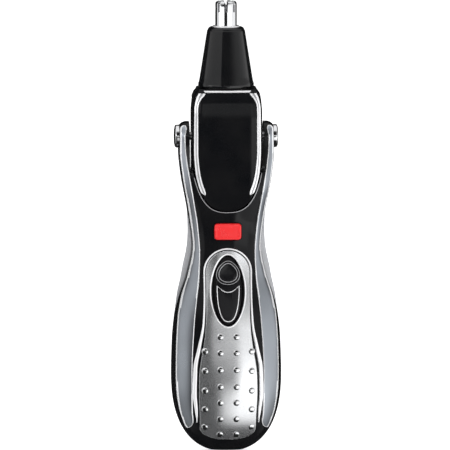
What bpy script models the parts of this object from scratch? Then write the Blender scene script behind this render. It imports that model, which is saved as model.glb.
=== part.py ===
"""A cordless nose hair trimmer with a tilting head, modelled as the separate pieces it is assembled from.

The trimmer stands upright: +Z runs along it with the cutter at the top, and its front faces -Y.
Sizes below are in millimetres, and every mesh is made in metres.
"""

from math import asin, atan2, ceil, copysign, cos, pi, radians, sin, sqrt, tau

import bmesh
import bpy
from mathutils import Matrix, Vector

for old in list(bpy.data.objects):
    bpy.data.objects.remove(old, do_unlink=True)

# ---------------------------------------------------------------- driving dimensions, in millimetres
MM = 0.001
GAP = 0.3  # clearance between pieces that touch
SPLIT = GAP / 2  # from the middle plane to each half of a two-part housing

# The handle: an oval section, with a round bottom that ends in a small flat foot.
WALL = 1.8
BELLY_Z = 27.0
BELLY_HALF_WIDTH = 19.2
BELLY_FRONT_DEPTH = 14.5
BELLY_REAR_DEPTH = 15.2  # the plate and its dots stand as far out at the front
BOTTOM_ROUNDNESS = 2.4
FOOT_TRIM = 0.7  # how much of the round bottom the flat foot cuts off
WAIST_BULGE = 1.8  # how far the rear shell is wider than the front one
WAIST_BULGE_Z = 66.0
WAIST_BULGE_REACH = 20.0
HALF_WIDTHS = (
    (BELLY_Z, BELLY_HALF_WIDTH),
    (38.7, 18.9),
    (46.4, 18.2),
    (53.5, 16.7),
    (61.7, 14.0),
    (71.5, 12.2),
    (82.2, 13.4),
    (97.5, 16.0),
    (105.0, 16.7),
    (109.5, 16.6),
)
FRONT_DEPTHS = ((BELLY_Z, BELLY_FRONT_DEPTH), (43.5, 13.65), (67.5, 11.1), (76.0, 10.8), (88.0, 11.0), (109.5, 7.2))
REAR_DEPTHS = ((BELLY_Z, BELLY_REAR_DEPTH), (50.0, 14.0), (68.0, 12.3), (88.0, 13.0), (97.5, 12.6), (109.5, 7.2))
SQUARENESS = ((80.0, 2.4), (100.0, 4.5))  # exponent of the oval section: the arms are nearly rectangular
BOSS_RADIUS = 2.2  # of the screw posts in the front shell
SCREW_SEAT = 8.3  # y of the housing screws' seats in the rear shell

# The tilting head: its lower end is turned about the pivot axis, so it clears the cradle at any tilt.
PIVOT_Z = 109.5
ARM_END_RADIUS = 5.3
ARM_INNER = 12.95
POD_HALF_WIDTH = 12.3
POD_DEPTH = 10.3
POD_TOP = 126.6
POD_SQUARENESS = 3.0  # exponent of the section's rear half
POD_FACE_SQUARENESS = 7.0  # and of its front half, which is nearly flat between the trims
POD_END_RADIUS = 27.2
POD_END_ROUNDNESS = 2.6
CRADLE_GAP = 0.65
CRADLE_WALL_TOP = 97.5
PIN_RADIUS = 1.4
CAP_RADIUS = 4.0
CAP_OUTER = 18.2
CAP_SEAT = 16.1
PIN_INNER = 10.95

# The front plate with its dots, and the bright line round it.
PLATE_BOTTOM = 4.6
ARCH_Z = 63.0
ARCH_RADIUS = 7.5
DOT_RADIUS = 1.15
INNER_DOTS = (40.7, 35.1, 29.2, 23.3, 17.7, 11.9, 6.4)
OUTER_DOTS = (35.6, 28.8, 21.9, 15.3, 9.0)
INNER_DOT_X = 2.8
OUTER_DOT_X = 8.1

# Inlays: how far their faces stand above the surface, and how deep their recesses go.
PLATE_OUT = 0.35
PLATE_IN = -0.65
RECESS_IN = PLATE_IN - GAP
BEZEL_OUT = 0.4
BEZEL_IN = -0.5
BEZEL_RECESS_IN = -0.8
TRIM_OUT = 0.2
TRIM_IN = -0.45
TRIM_RECESS_IN = TRIM_IN - GAP
OPEN_OUT = 3.0  # how far a recess cutter stands proud of the surface

# Controls.
SWITCH_Z = 56.1
WELL_HALF_WIDTH = 6.0
WELL_HALF_HEIGHT = 12.6
SWITCH_TRAVEL = 1.2
BUTTON_Z = 77.1
BUTTON_WIDTH = 9.3
BUTTON_HEIGHT = 5.6
BUTTON_CORNER = 1.1

# Nozzle and cutter.
CONE_BASE_Z = 126.9
CONE_TOP_Z = 147.7
CONE_BASE_RADIUS = 9.7
CONE_TOP_RADIUS = 6.4
TUBE_RADIUS = 3.75
TUBE_TOP_Z = 156.7
SLOT_BOTTOM_Z = 152.8
SLOT_WIDTH = 1.0

# Battery: one AA cell.
CELL_RADIUS = 7.25
CELL_BOTTOM_Z = 13.3
CELL_LENGTH = 50.5
CELL_Y = 1.5
DOOR_BOTTOM_Z = 13.0
DOOR_TOP_Z = 58.0
DOOR_HALF_WIDTH = 9.5


# ---------------------------------------------------------------- shape helpers
def slope_at(stations, index):
    """The slope of a smooth curve at one station: level at the ends and at each peak or waist."""
    if index in (0, len(stations) - 1):
        return 0.0
    (z0, v0), (z1, v1), (z2, v2) = stations[index - 1 : index + 2]
    before = (v1 - v0) / (z1 - z0)
    after = (v2 - v1) / (z2 - z1)
    return 0.0 if before * after <= 0 else 2 * before * after / (before + after)


def through(stations, z):
    """The value at height z of a smooth curve through (height, value) stations."""
    if z <= stations[0][0]:
        return stations[0][1]
    if z >= stations[-1][0]:
        return stations[-1][1]
    index = max(i for i, station in enumerate(stations) if station[0] <= z)
    (z0, v0), (z1, v1) = stations[index : index + 2]
    t = (z - z0) / (z1 - z0)
    rise0 = slope_at(stations, index) * (z1 - z0)
    rise1 = slope_at(stations, index + 1) * (z1 - z0)
    return (
        v0 * (1 + 2 * t) * (1 - t) ** 2
        + v1 * t * t * (3 - 2 * t)
        + rise0 * t * (1 - t) ** 2
        + rise1 * t * t * (t - 1)
    )


def evenly(start, end, count):
    return [start + (end - start) * i / (count - 1) for i in range(count)]


def signed_power(value, power):
    return copysign(abs(value) ** power, value)


def oval_point(half_width, depth, squareness, angle):
    power = 2 / squareness
    return half_width * signed_power(cos(angle), power), depth * signed_power(sin(angle), power)


def oval_depth(x, half_width, depth, squareness):
    return depth * max(0.0, 1 - abs(x / half_width) ** squareness) ** (1 / squareness)


def add_object(name, bm, material=None, crease=35):
    """Makes a mesh in millimetres into an object in metres, smooth except where it bends sharply."""
    bm.transform(Matrix.Scale(MM, 4))
    mesh = bpy.data.meshes.new(name)
    bm.to_mesh(mesh)
    bm.free()
    mesh.shade_smooth()
    mesh.set_sharp_from_angle(angle=radians(crease))
    obj = bpy.data.objects.new(name, mesh)
    bpy.context.scene.collection.objects.link(obj)
    if material:
        mesh.materials.append(material)
    else:
        obj.hide_render = True
        obj.display_type = "WIRE"
    return obj


def loft(rings):
    """A closed mesh through rings that have the same number of points."""
    bm = bmesh.new()
    loops = [[bm.verts.new(point) for point in ring] for ring in rings]
    for low, high in zip(loops, loops[1:]):
        for i, here in enumerate(low):
            after = (i + 1) % len(low)
            bm.faces.new((here, low[after], high[after], high[i]))
    bm.faces.new(loops[0])
    bm.faces.new(reversed(loops[-1]))
    return facing_out(bm)


def facing_out(bm):
    bmesh.ops.recalc_face_normals(bm, faces=bm.faces)
    if bm.calc_volume(signed=True) < 0:
        bmesh.ops.reverse_faces(bm, faces=bm.faces)
    return bm


def turned(profile, steps=24, y=0.0):
    """A solid turned about the Z axis from (radius, height) pairs: a ring, or solid if both ends are on the axis."""
    bm = bmesh.new()
    verts = [bm.verts.new((radius, 0, height)) for radius, height in profile]
    edges = [bm.edges.new(pair) for pair in zip(verts, verts[1:])]
    if profile[0][0] > 0:
        edges.append(bm.edges.new((verts[-1], verts[0])))
    bmesh.ops.spin(bm, geom=verts + edges, axis=(0, 0, 1), cent=(0, 0, 0), angle=tau, steps=steps)
    bmesh.ops.remove_doubles(bm, verts=bm.verts, dist=1e-4)
    bm.transform(Matrix.Translation((0, y, 0)))
    return facing_out(bm)


def rod(radius, start, end, steps=20):
    """A straight round bar between two points."""
    start, end = Vector(start), Vector(end)
    length = (end - start).length
    bm = bmesh.new()
    bmesh.ops.create_cone(bm, cap_ends=True, segments=steps, radius1=radius, radius2=radius, depth=length)
    turn = (end - start).to_track_quat("Z", "Y").to_matrix().to_4x4()
    bm.transform(Matrix.Translation((start + end) / 2) @ turn)
    return facing_out(bm)


def block(low, high):
    """A box between two corners."""
    low, high = Vector(low), Vector(high)
    bm = bmesh.new()
    bmesh.ops.create_cube(bm, size=1)
    bm.transform(Matrix.Translation((low + high) / 2) @ Matrix.Diagonal((*(high - low), 1)))
    return bm


def joined(meshes):
    """Several separate closed meshes held as one, for a cutter."""
    whole = meshes[0]
    for other in meshes[1:]:
        copies = {vert: whole.verts.new(vert.co) for vert in other.verts}
        for face in other.faces:
            whole.faces.new([copies[vert] for vert in face.verts])
        other.free()
    return whole


def layered(outlines_and_depths):
    """A solid along Y from (outline, y) layers, where each outline is a list of (x, z) points."""
    return loft([[(x, y, z) for x, z in outline] for outline, y in outlines_and_depths])


def rounded_rectangle(width, height, radius, steps=4):
    points = []
    for corner, (side_x, side_z) in enumerate(((1, 1), (-1, 1), (-1, -1), (1, -1))):
        for step in range(steps + 1):
            angle = (corner + step / steps) * pi / 2
            x = side_x * (width / 2 - radius) + radius * cos(angle)
            points.append((x, side_z * (height / 2 - radius) + radius * sin(angle)))
    return points


def egg(half_width, half_height, steps=28):
    """The outline of the switch well: an oval that is slightly pointed at the top."""
    points = []
    for step in range(steps):
        angle = tau * step / steps
        narrowing = 1 - 0.09 * max(0.0, sin(angle)) ** 2
        points.append((half_width * cos(angle) * narrowing, half_height * sin(angle)))
    return points


def sheet(surface, heights, edges, outer, inner, columns=7):
    """A thin solid that follows a surface: edges(z) gives its left and right x, outer and inner its two faces."""
    rings = []
    for z in heights:
        left, right = edges(z)
        places = evenly(left, right, columns)
        ring = [offset_point(surface, x, z, outer) for x in places]
        ring += [offset_point(surface, x, z, inner) for x in reversed(places)]
        rings.append(ring)
    return loft(rings)


def offset_point(surface, x, z, distance):
    """A point above the surface (or below it, where the distance is negative), along its outward normal."""
    step = 0.05
    along_x = surface(x + step, z) - surface(x - step, z)
    along_z = surface(x, z + step) - surface(x, z - step)
    normal = along_x.cross(along_z).normalized()
    here = surface(x, z)
    if normal.y * here.y < 0:
        normal.negate()
    return here + normal * distance


def coil(radius, wire, start, length, turns, axis, top_radius=None):
    """A spring along an axis, as one closed wire."""
    steps = ceil(turns * 9)
    rings = []
    for step in range(steps + 1):
        share = step / steps
        here = radius + ((top_radius or radius) - radius) * share
        angle = tau * turns * share
        outward = Vector((cos(angle), sin(angle), 0))
        centre = outward * here + Vector((0, 0, length * share))
        ring = [centre + wire * (cos(a) * outward + Vector((0, 0, sin(a)))) for a in evenly(0, tau * 3 / 4, 4)]
        rings.append(ring)
    bm = loft(rings)
    turn = Vector(axis).to_track_quat("Z", "Y").to_matrix().to_4x4()
    bm.transform(Matrix.Translation(start) @ turn)
    return bm


def use(obj, operation, *tools):
    for tool in tools:
        modifier = obj.modifiers.new(f"{operation.lower()} {tool.name}", "BOOLEAN")
        modifier.operation = operation
        modifier.solver = "EXACT"
        modifier.object = tool


def cut(obj, *tools):
    use(obj, "DIFFERENCE", *tools)


def material(name, colour, roughness, metallic=0.0):
    made = bpy.data.materials.new(name)
    made.use_nodes = True
    shader = made.node_tree.nodes["Principled BSDF"]
    shader.inputs["Base Color"].default_value = (*colour, 1)
    shader.inputs["Roughness"].default_value = roughness
    shader.inputs["Metallic"].default_value = metallic
    return made


def gloss_black():
    return material("gloss_black", (0.01, 0.01, 0.012), 0.12)


def satin_silver():
    return material("satin_silver", (0.55, 0.57, 0.6), 0.35, 1.0)


def bright_chrome():
    return material("bright_chrome", (0.85, 0.85, 0.87), 0.08, 1.0)


def grey_plastic():
    return material("grey_plastic", (0.6, 0.61, 0.63), 0.4)


def dark_plastic():
    return material("dark_plastic", (0.03, 0.03, 0.032), 0.45)


def red_plastic():
    return material("red_plastic", (0.8, 0.02, 0.03), 0.3)


def plain_steel():
    return material("plain_steel", (0.5, 0.5, 0.52), 0.3, 1.0)


def plain_brass():
    return material("plain_brass", (0.7, 0.5, 0.2), 0.3, 1.0)


def cell_jacket():
    return material("cell_jacket", (0.1, 0.12, 0.16), 0.3, 0.6)


# ---------------------------------------------------------------- the handle's outer form
def bottom_share(z):
    """How wide the round bottom is at height z, as a share of the belly."""
    below = (BELLY_Z - z) / (BELLY_Z + FOOT_TRIM)
    return (1 - below**BOTTOM_ROUNDNESS) ** (1 / BOTTOM_ROUNDNESS)


def arm_end_share(z):
    """The arms end in a half circle about the pivot, seen from the side."""
    above = min(0.999, (z - PIVOT_Z) / ARM_END_RADIUS)
    return sqrt(1 - above**2) if above > 0 else 1.0


def squareness(z):
    return through(SQUARENESS, z)


def handle_half_width(z):
    if z < BELLY_Z:
        return BELLY_HALF_WIDTH * bottom_share(z)
    return through(HALF_WIDTHS, z)


def handle_depth(z, side):
    if z < BELLY_Z:
        return (BELLY_FRONT_DEPTH if side < 0 else BELLY_REAR_DEPTH) * bottom_share(z)
    return through(FRONT_DEPTHS if side < 0 else REAR_DEPTHS, z) * arm_end_share(z)


def rear_bulge(z):
    away = abs(z - WAIST_BULGE_Z) / WAIST_BULGE_REACH
    return WAIST_BULGE * cos(away * pi / 2) ** 2 if away < 1 else 0.0


def front_surface(x, z):
    return Vector((x, -oval_depth(x, handle_half_width(z), handle_depth(z, -1), squareness(z)), z))


def rear_surface(x, z):
    return Vector((x, oval_depth(x, handle_half_width(z) + rear_bulge(z), handle_depth(z, 1), squareness(z)), z))


def handle_heights():
    bottom = [BELLY_Z * (step / 5) ** 1.7 for step in range(5)]
    middle = evenly(BELLY_Z, PIVOT_Z, 14)
    top = [PIVOT_Z + ARM_END_RADIUS * sin(radians(angle)) for angle in (30, 50, 68, 80)]
    return bottom + middle + top


def handle_half(side):
    """One half of the handle, solid, flat on the middle plane."""
    rings = []
    for z in handle_heights():
        half_width = handle_half_width(z) + (rear_bulge(z) if side > 0 else 0)
        ring = []
        for angle in evenly(0, pi, 15):
            x, y = oval_point(half_width, handle_depth(z, side), squareness(z), angle)
            ring.append((x, side * max(SPLIT, y), z))
        rings.append(ring)
    return loft(rings)


def handle_hollow():
    rings = []
    for z in [2.2, 5, 10, 17] + evenly(BELLY_Z, 79.0, 7):
        ring = []
        for angle in evenly(0, tau * 19 / 20, 20):
            depth = handle_depth(z, sin(angle)) - WALL
            ring.append((*oval_point(handle_half_width(z) - WALL, depth, squareness(z), angle), z))
        rings.append(ring)
    return loft(rings)


def turned_end(half_width, radius, x):
    return radius * max(0.0, 1 - abs(x / half_width) ** POD_END_ROUNDNESS) ** (1 / POD_END_ROUNDNESS)


def cradle(behind_wall):
    """The space that the head's lower end turns in. With behind_wall it stops at the wall behind the head."""
    half_width = POD_HALF_WIDTH + CRADLE_GAP
    rings = []
    for turn in evenly(-asin(0.985), asin(0.985), 13):
        x = half_width * sin(turn)
        radius = turned_end(half_width, POD_END_RADIUS + CRADLE_GAP, x)
        limit = oval_depth(x, half_width, POD_DEPTH + CRADLE_GAP, POD_SQUARENESS)
        ring = []
        for angle in evenly(0, tau * 31 / 32, 32):
            y = radius * sin(angle)
            ring.append((x, min(y, limit) if behind_wall else y, PIVOT_Z + radius * cos(angle)))
        rings.append(ring)
    return loft(rings)


# ---------------------------------------------------------------- outlines on the front of the handle
PLATE_SIDES = ((10.6, 9.7), (20.6, 10.1), (26.9, 10.0), (31.6, 9.5), (36.9, 8.6), (42.6, 7.9), (50.6, 7.5))
PLATE_BOTTOM_ARC = 4.5
RECESS_EXTRA = ((33.6, 0.0), (42.6, 0.55), (ARCH_Z, 0.55), (ARCH_Z + ARCH_RADIUS, 0.9))


def plate_recess_edges(z):
    """The recess is GAP wider than the plate, and wider still where it runs into the bright line's recess."""
    left, right = plate_edges(z, GAP)
    extra = through(RECESS_EXTRA, z)
    return left - extra, right + extra


def plate_edges(z, grow=0.0):
    """The plate is straight-sided with a waist, ends in a half circle at the top and in a flat arc below."""
    half_width = through(PLATE_SIDES, z) + grow
    if z > ARCH_Z:
        half_width = sqrt(max(0.04, (ARCH_RADIUS + grow) ** 2 - (z - ARCH_Z) ** 2))
    arc = PLATE_BOTTOM_ARC + grow
    above = min(1.0, (z - PLATE_BOTTOM + grow) / arc)
    half_width *= max(0.08, sqrt(1 - (1 - above) ** 2.6))
    return -half_width, half_width


def plate_heights(grow=0.0):
    low = PLATE_BOTTOM - grow
    high = ARCH_RADIUS + grow
    bottom = [low, low + 0.2, low + 0.8, low + 2.4]
    arch = [ARCH_Z + high * sin(radians(angle)) for angle in (0, 28, 50, 68, 84)]
    return bottom + evenly(10, 56, 8) + arch


RAIL_INNER = (
    (8.4, 11.9),
    (14.0, 12.4),
    (29.0, 12.4),
    (45.0, 11.6),
    (53.8, 10.7),
    (60.5, 9.9),
    (69.4, 9.55),
    (78.4, 10.2),
    (87.3, 11.6),
    (94.4, 12.8),
    (100.4, 13.8),
    (106.5, 14.4),
)
RAIL_MARGINS = ((8.4, 1.5), (40.0, 1.3), (60.0, 0.6), (113.0, 0.5))
RAIL_BOTTOM = 8.4
RAIL_TOP = 113.3


def rail_edges(z, side, grow=0.0):
    """A side rail's inner and outer edge: it tapers at the bottom and is rounded at the top of the arm."""
    inner = through(RAIL_INNER, z) - grow
    outer = handle_half_width(z) - through(RAIL_MARGINS, z) + grow / 2
    rounding = max(0.0, z - (RAIL_TOP - 1)) * 0.45
    edges = side * (inner + rounding), side * (outer - rounding)
    return min(edges), max(edges)


def rail_heights(grow=0.0):
    return [RAIL_BOTTOM - grow, 10] + evenly(14, 108, 14) + [RAIL_TOP - 1, RAIL_TOP + grow]


BEZEL_BOTTOM = 10.5
BEZEL_LINE = ((BEZEL_BOTTOM, 10.7), (14.6, 11.0), (20.6, 11.6), (29.6, 11.4), (36.6, 10.1), (45.6, 8.5), (55.6, 8.1))
BEZEL_WIDTHS = ((BEZEL_BOTTOM, 0.12), (14.6, 0.5), (20.6, 0.65), (29.6, 0.65), (45.6, 0.35), (60.6, 0.28))


def bezel(outer, inner, grow):
    """The bright line: up one side of the plate, round the arch, and down the other side."""
    side_heights = [BEZEL_BOTTOM - grow] + evenly(13.6, ARCH_Z, 9)
    path = [(-through(BEZEL_LINE, z), z) for z in side_heights]
    arch_radius = BEZEL_LINE[-1][1]
    for angle in evenly(pi, 0, 11)[1:-1]:
        path.append((arch_radius * cos(angle), ARCH_Z + arch_radius * sin(angle)))
    path += [(through(BEZEL_LINE, z), z) for z in reversed(side_heights)]
    rings = []
    for i, (x, z) in enumerate(path):
        before, after = path[max(0, i - 1)], path[min(len(path) - 1, i + 1)]
        across = Vector((before[1] - after[1], after[0] - before[0])).normalized()
        half = through(BEZEL_WIDTHS, z) + grow
        sides = [(x + across.x * half * s, z + across.y * half * s) for s in (-1, 1)]
        ring = [offset_point(front_surface, *side, outer) for side in sides]
        ring += [offset_point(front_surface, *side, inner) for side in reversed(sides)]
        rings.append(ring)
    return loft(rings)


def dots():
    """The raised dots, each a low dome standing square on the plate."""
    places = [(side * INNER_DOT_X, z) for z in INNER_DOTS for side in (-1, 1)]
    places += [(side * OUTER_DOT_X, z) for z in OUTER_DOTS for side in (-1, 1)]
    meshes = []
    for x, z in places:
        base = offset_point(front_surface, x, z, PLATE_OUT)
        top = offset_point(front_surface, x, z, PLATE_OUT + 1)
        profile = [(0, -0.4), (DOT_RADIUS, -0.4), (DOT_RADIUS, 0.05), (0, 0.4)]
        bm = turned(profile, 8)
        turn = (top - base).to_track_quat("Z", "Y").to_matrix().to_4x4()
        bm.transform(Matrix.Translation(base) @ turn)
        meshes.append(bm)
    return joined(meshes)


# ---------------------------------------------------------------- joint axes
def axis_empty(name, place, lean=0.0):
    empty = bpy.data.objects.new(name, None)
    empty.location = Vector(place) * MM
    empty.rotation_euler = (lean, 0, 0)
    bpy.context.scene.collection.objects.link(empty)
    return empty


def carry(empty, *objects):
    """Hangs world-placed objects on an empty without moving them."""
    for obj in objects:
        obj.parent = empty
        obj.matrix_parent_inverse = Matrix.Translation(empty.location).inverted()


switch_slope = atan2(handle_depth(SWITCH_Z - 12, -1) - handle_depth(SWITCH_Z + 12, -1), 24)
switch_place = axis_empty("switch_axis", (0, -handle_depth(SWITCH_Z, -1), SWITCH_Z), -switch_slope)
button_place = axis_empty("button_axis", (0, -handle_depth(BUTTON_Z, -1), BUTTON_Z))
head_axis = axis_empty("head_axis", (0, 0, PIVOT_Z))
cutter_axis = axis_empty("cutter_axis", (0, 0, CONE_BASE_Z))
latch_axis = axis_empty("latch_axis", (0, -2, 77.0))
door_axis = axis_empty("door_axis", (0, handle_depth(DOOR_BOTTOM_Z, 1), DOOR_BOTTOM_Z))


def local(empty, *objects):
    """Hangs objects that were modelled round the empty."""
    for obj in objects:
        obj.parent = empty


# ---------------------------------------------------------------- handle shells
HOUSING_SCREW_PLACES = ((-7.8, 67.5), (7.8, 67.5), (0.0, 7.0))  # (x, z) of the two at the waist and the one below


def posts(radius, starts, end, steps):
    """A round bar along Y at each housing screw, from its own start to a common end."""
    places = zip(HOUSING_SCREW_PLACES, starts)
    return joined([rod(radius, (x, start, z), (x, end, z), steps) for (x, z), start in places])


def make_handle_shells():
    front = add_object("handle_front_shell", handle_half(-1), gloss_black())
    rear = add_object("handle_rear_shell", handle_half(1), grey_plastic())
    hollow = add_object("cut_hollow", handle_hollow())
    arm_slot = add_object("cut_between_arms", block((-ARM_INNER, -30, CRADLE_WALL_TOP), (ARM_INNER, 30, 130)))
    pins = add_object("cut_pin_holes", rod(PIN_RADIUS + GAP, (-17, 0, PIVOT_Z), (17, 0, PIVOT_Z)))
    seats = [rod(CAP_RADIUS + GAP, (s * CAP_SEAT, 0, PIVOT_Z), (s * 22, 0, PIVOT_Z), 28) for s in (-1, 1)]
    caps = add_object("cut_cap_seats", joined(seats))

    cut(front, hollow)
    use(front, "UNION", add_object("add_front_bosses", posts(BOSS_RADIUS, (-8.0, -8.0, -9.2), -SPLIT, 12)))
    cut(front, add_object("cut_threads", posts(1.25, (-5, -5, -5), 1, 12)))
    cut(front, arm_slot, add_object("cut_cradle", cradle(False)), pins, caps)
    plate_recess = sheet(front_surface, plate_heights(GAP), plate_recess_edges, OPEN_OUT, RECESS_IN)
    cut(front, add_object("cut_plate_recess", plate_recess))
    cut(front, add_object("cut_bezel_recess", bezel(OPEN_OUT, BEZEL_RECESS_IN, GAP)))
    for name, side in (("left", -1), ("right", 1)):
        cut(front, add_object(f"cut_rail_recess_{name}", side_rail(side, GAP, OPEN_OUT, RECESS_IN)))
    well = add_object("cut_well", well_hole())
    local(switch_place, well)
    button_hole = rounded_rectangle(BUTTON_WIDTH + 2 * GAP, BUTTON_HEIGHT + 2 * GAP, BUTTON_CORNER + GAP)
    hole = add_object("cut_button_hole", layered([(button_hole, -5), (button_hole, 5)]))
    local(button_place, hole)
    cut(front, well, hole)
    cut(front, add_object("cut_flange_pocket", block((-5.95, -8.8, 73.3), (5.95, -6.1, 81.0))))
    cut(front, add_object("cut_latch_slot", block((-1.75, -3.05, 78.0), (1.75, -0.7, 83.0))))

    cut(rear, hollow)
    use(rear, "UNION", add_object("add_rear_bosses", posts(2.6, (SPLIT, SPLIT, SPLIT), 9.8, 12)))
    cut(rear, add_object("cut_clearances", posts(1.3, (-1, -1, -1), 9, 12)))
    cut(rear, add_object("cut_head_seats", posts(2.2, (SCREW_SEAT, SCREW_SEAT, SCREW_SEAT), 20, 16)))
    cut(rear, arm_slot, add_object("cut_cradle_front", cradle(True)), pins, caps)
    door_hole = sheet(rear_surface, door_heights(0.35), lambda z: door_edges(z, 0.35), OPEN_OUT, -4, 9)
    cut(rear, add_object("cut_door_hole", door_hole))


def make_housing_screws():
    shank = 11.5
    profile = [(0, 0), (0.95, 0), (0.95, shank), (1.9, shank), (1.9, shank + 1.2), (1.5, shank + 1.6), (0, shank + 1.6)]
    for number, (x, z) in enumerate(HOUSING_SCREW_PLACES, 1):
        bm = turned(profile, 16)
        bm.transform(Matrix.Translation((x, SCREW_SEAT + GAP - shank, z)) @ Matrix.Rotation(-pi / 2, 4, "X"))
        add_object(f"housing_screw_{number}", bm, plain_steel())


def side_rail(side, grow, outer, inner):
    """One side rail, or the cutter for its recess."""
    return sheet(front_surface, rail_heights(grow), lambda z: rail_edges(z, side, grow), outer, inner, 5)


def well_hole():
    """The cutter for the switch well's opening, round the switch's own axis."""
    outline = egg(WELL_HALF_WIDTH + GAP, WELL_HALF_HEIGHT + GAP)
    return layered([(outline, -5), (outline, 6)])


def make_front_trim():
    plate = sheet(front_surface, plate_heights(), plate_edges, PLATE_OUT, PLATE_IN, 9)
    plate = add_object("grip_plate", plate, satin_silver())
    use(plate, "UNION", add_object("add_dots", dots()))
    well = add_object("cut_plate_well", well_hole())
    local(switch_place, well)
    cut(plate, well)
    add_object("plate_bezel", bezel(BEZEL_OUT, BEZEL_IN, 0), bright_chrome())
    for name, side in (("left", -1), ("right", 1)):
        add_object(f"side_rail_{name}", side_rail(side, 0, PLATE_OUT, PLATE_IN), satin_silver())


# ---------------------------------------------------------------- controls
def make_switch():
    """The black well, the thumb piece that slides in it, and the small slide switch behind."""
    curve = 0.55 / WELL_HALF_WIDTH**2  # the plate falls away at the sides, and the well's rim follows it
    rim = [(x, -0.1 + curve * x * x, z) for x, z in egg(WELL_HALF_WIDTH, WELL_HALF_HEIGHT)]
    floor = [(x, 1.9, z) for x, z in egg(WELL_HALF_WIDTH, WELL_HALF_HEIGHT)]
    frame = add_object("switch_frame", loft([rim, floor]), dark_plastic())
    mouth = layered([(egg(5.6, 12.3), -3), (egg(5.6, 12.3), -0.1), (egg(4.7, 11.75), 1.2), (egg(4.7, 11.75), 4)])
    mouth = add_object("cut_switch_mouth", mouth)
    cut(frame, mouth)

    def resting(outline):
        """The thumb piece rests low in the well and slides up SWITCH_TRAVEL."""
        return [(x, z + 0.1 - SWITCH_TRAVEL / 2) for x, z in outline]

    flange = resting(egg(5.4, 10.9))
    knob = resting(egg(4.3, 10.4))
    rim = resting(egg(3.8, 9.9))
    slider = layered([(flange, 2.9), (flange, 2.2), (knob, 2.2), (knob, -0.5), (rim, -0.9)])
    slider = add_object("switch_slider", slider, dark_plastic())
    dish = turned([(0, -7), (4, -5.7), (6.6, -2.2), (7, 0), (6.6, 2.2), (4, 5.7), (0, 7)], 24)
    dish.transform(Matrix.Translation((0, -7.0, 5.6)) @ Matrix.Diagonal((0.75, 1, 0.95, 1)))
    dish = add_object("cut_thumb_dish", dish)
    cut(slider, dish)

    body = add_object("switch_body", block((-3.5, 3.3, -5.5), (3.5, 5.6, 5.5)), dark_plastic())
    local(switch_place, frame, mouth, slider, dish, body)


def make_release():
    """The red button and the latch that it draws down, with their springs."""
    face = rounded_rectangle(BUTTON_WIDTH, BUTTON_HEIGHT, BUTTON_CORNER)
    flange = rounded_rectangle(BUTTON_WIDTH + 1.8, BUTTON_HEIGHT + 1.6, 1.6)
    rim = rounded_rectangle(BUTTON_WIDTH - 0.8, BUTTON_HEIGHT - 0.8, 0.8)
    button = layered([(flange, 3.1), (flange, 2.3), (face, 2.3), (face, -0.5), (rim, -0.8)])
    button = add_object("release_button", button, red_plastic())
    tongue = add_object("add_tongue", block((-1.5, 2.8, -3.0), (1.5, 7.2, -1.2)))
    use(button, "UNION", tongue)
    local(button_place, button, tongue)
    spring = add_object("button_spring", coil(1.2, 0.2, (0, 3.6, 0.6), 2.2, 3, (0, 1, 0)), plain_steel())
    local(button_place, spring)

    latch = add_object("lock_latch", block((-2.6, -3.3, 71.0), (2.6, -0.8, 78.9)), dark_plastic())
    tooth = add_object("add_tooth", block((-1.4, -2.7, 78.0), (1.4, -1.1, 81.95)))
    window = add_object("cut_latch_window", block((-1.85, -5, 73.8), (1.85, 1, 77.5)))
    use(latch, "UNION", tooth)
    cut(latch, window)
    carry(latch_axis, latch, tooth, window)
    add_object("latch_spring", coil(1.5, 0.2, (0, -2.05, 66.4), 3.0, 3, (0, 0, 1)), plain_steel())


# ---------------------------------------------------------------- battery and its door
def door_edges(z, grow=0.0):
    """The door's outline, seen from behind: a rectangle with rounded corners."""
    corner = 4.0
    near_end = min(z - DOOR_BOTTOM_Z, DOOR_TOP_Z - z) + grow
    half_width = DOOR_HALF_WIDTH + grow
    if near_end < corner:
        half_width -= corner - sqrt(max(0.0, corner**2 - (corner - near_end) ** 2))
    return -half_width, half_width


def door_heights(grow=0.0):
    low, high = DOOR_BOTTOM_Z - grow, DOOR_TOP_Z + grow
    ends = (0, 0.4, 1.4, 4)
    return [low + z for z in ends] + evenly(22, 49, 5) + [high - z for z in reversed(ends)]


def make_battery():
    top = CELL_BOTTOM_Z + CELL_LENGTH
    profile = [(0, CELL_BOTTOM_Z), (6.6, CELL_BOTTOM_Z), (CELL_RADIUS, CELL_BOTTOM_Z + 0.6)]
    profile += [(CELL_RADIUS, top - 1.8), (6.7, top - 1.0), (2.7, top - 1.0), (2.7, top), (0, top)]
    add_object("battery", turned(profile, 28, CELL_Y), cell_jacket())
    spring = coil(4.6, 0.25, (0, CELL_Y, 10.0), 2.9, 3, (0, 0, 1), 2.6)
    add_object("battery_spring", spring, plain_steel())
    add_object("battery_contact", block((-4, -1.0, top + 0.3), (4, 6, top + 0.8)), plain_brass())
    door = sheet(rear_surface, door_heights(), door_edges, 0, -1.6, 9)
    door = add_object("battery_door", door, grey_plastic())
    carry(door_axis, door)


# ---------------------------------------------------------------- head
POD_HALF_WIDTHS = ((80.0, POD_HALF_WIDTH), (118.0, POD_HALF_WIDTH), (122.0, 12.0), (124.8, 11.5), (POD_TOP, 10.4))
POD_DEPTHS = ((80.0, POD_DEPTH), (116.0, POD_DEPTH), (121.0, 10.0), (124.8, 9.4), (POD_TOP, 8.8))


def pod_surface(x, z):
    return Vector((x, -oval_depth(x, through(POD_HALF_WIDTHS, z), through(POD_DEPTHS, z), POD_FACE_SQUARENESS), z))


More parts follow.
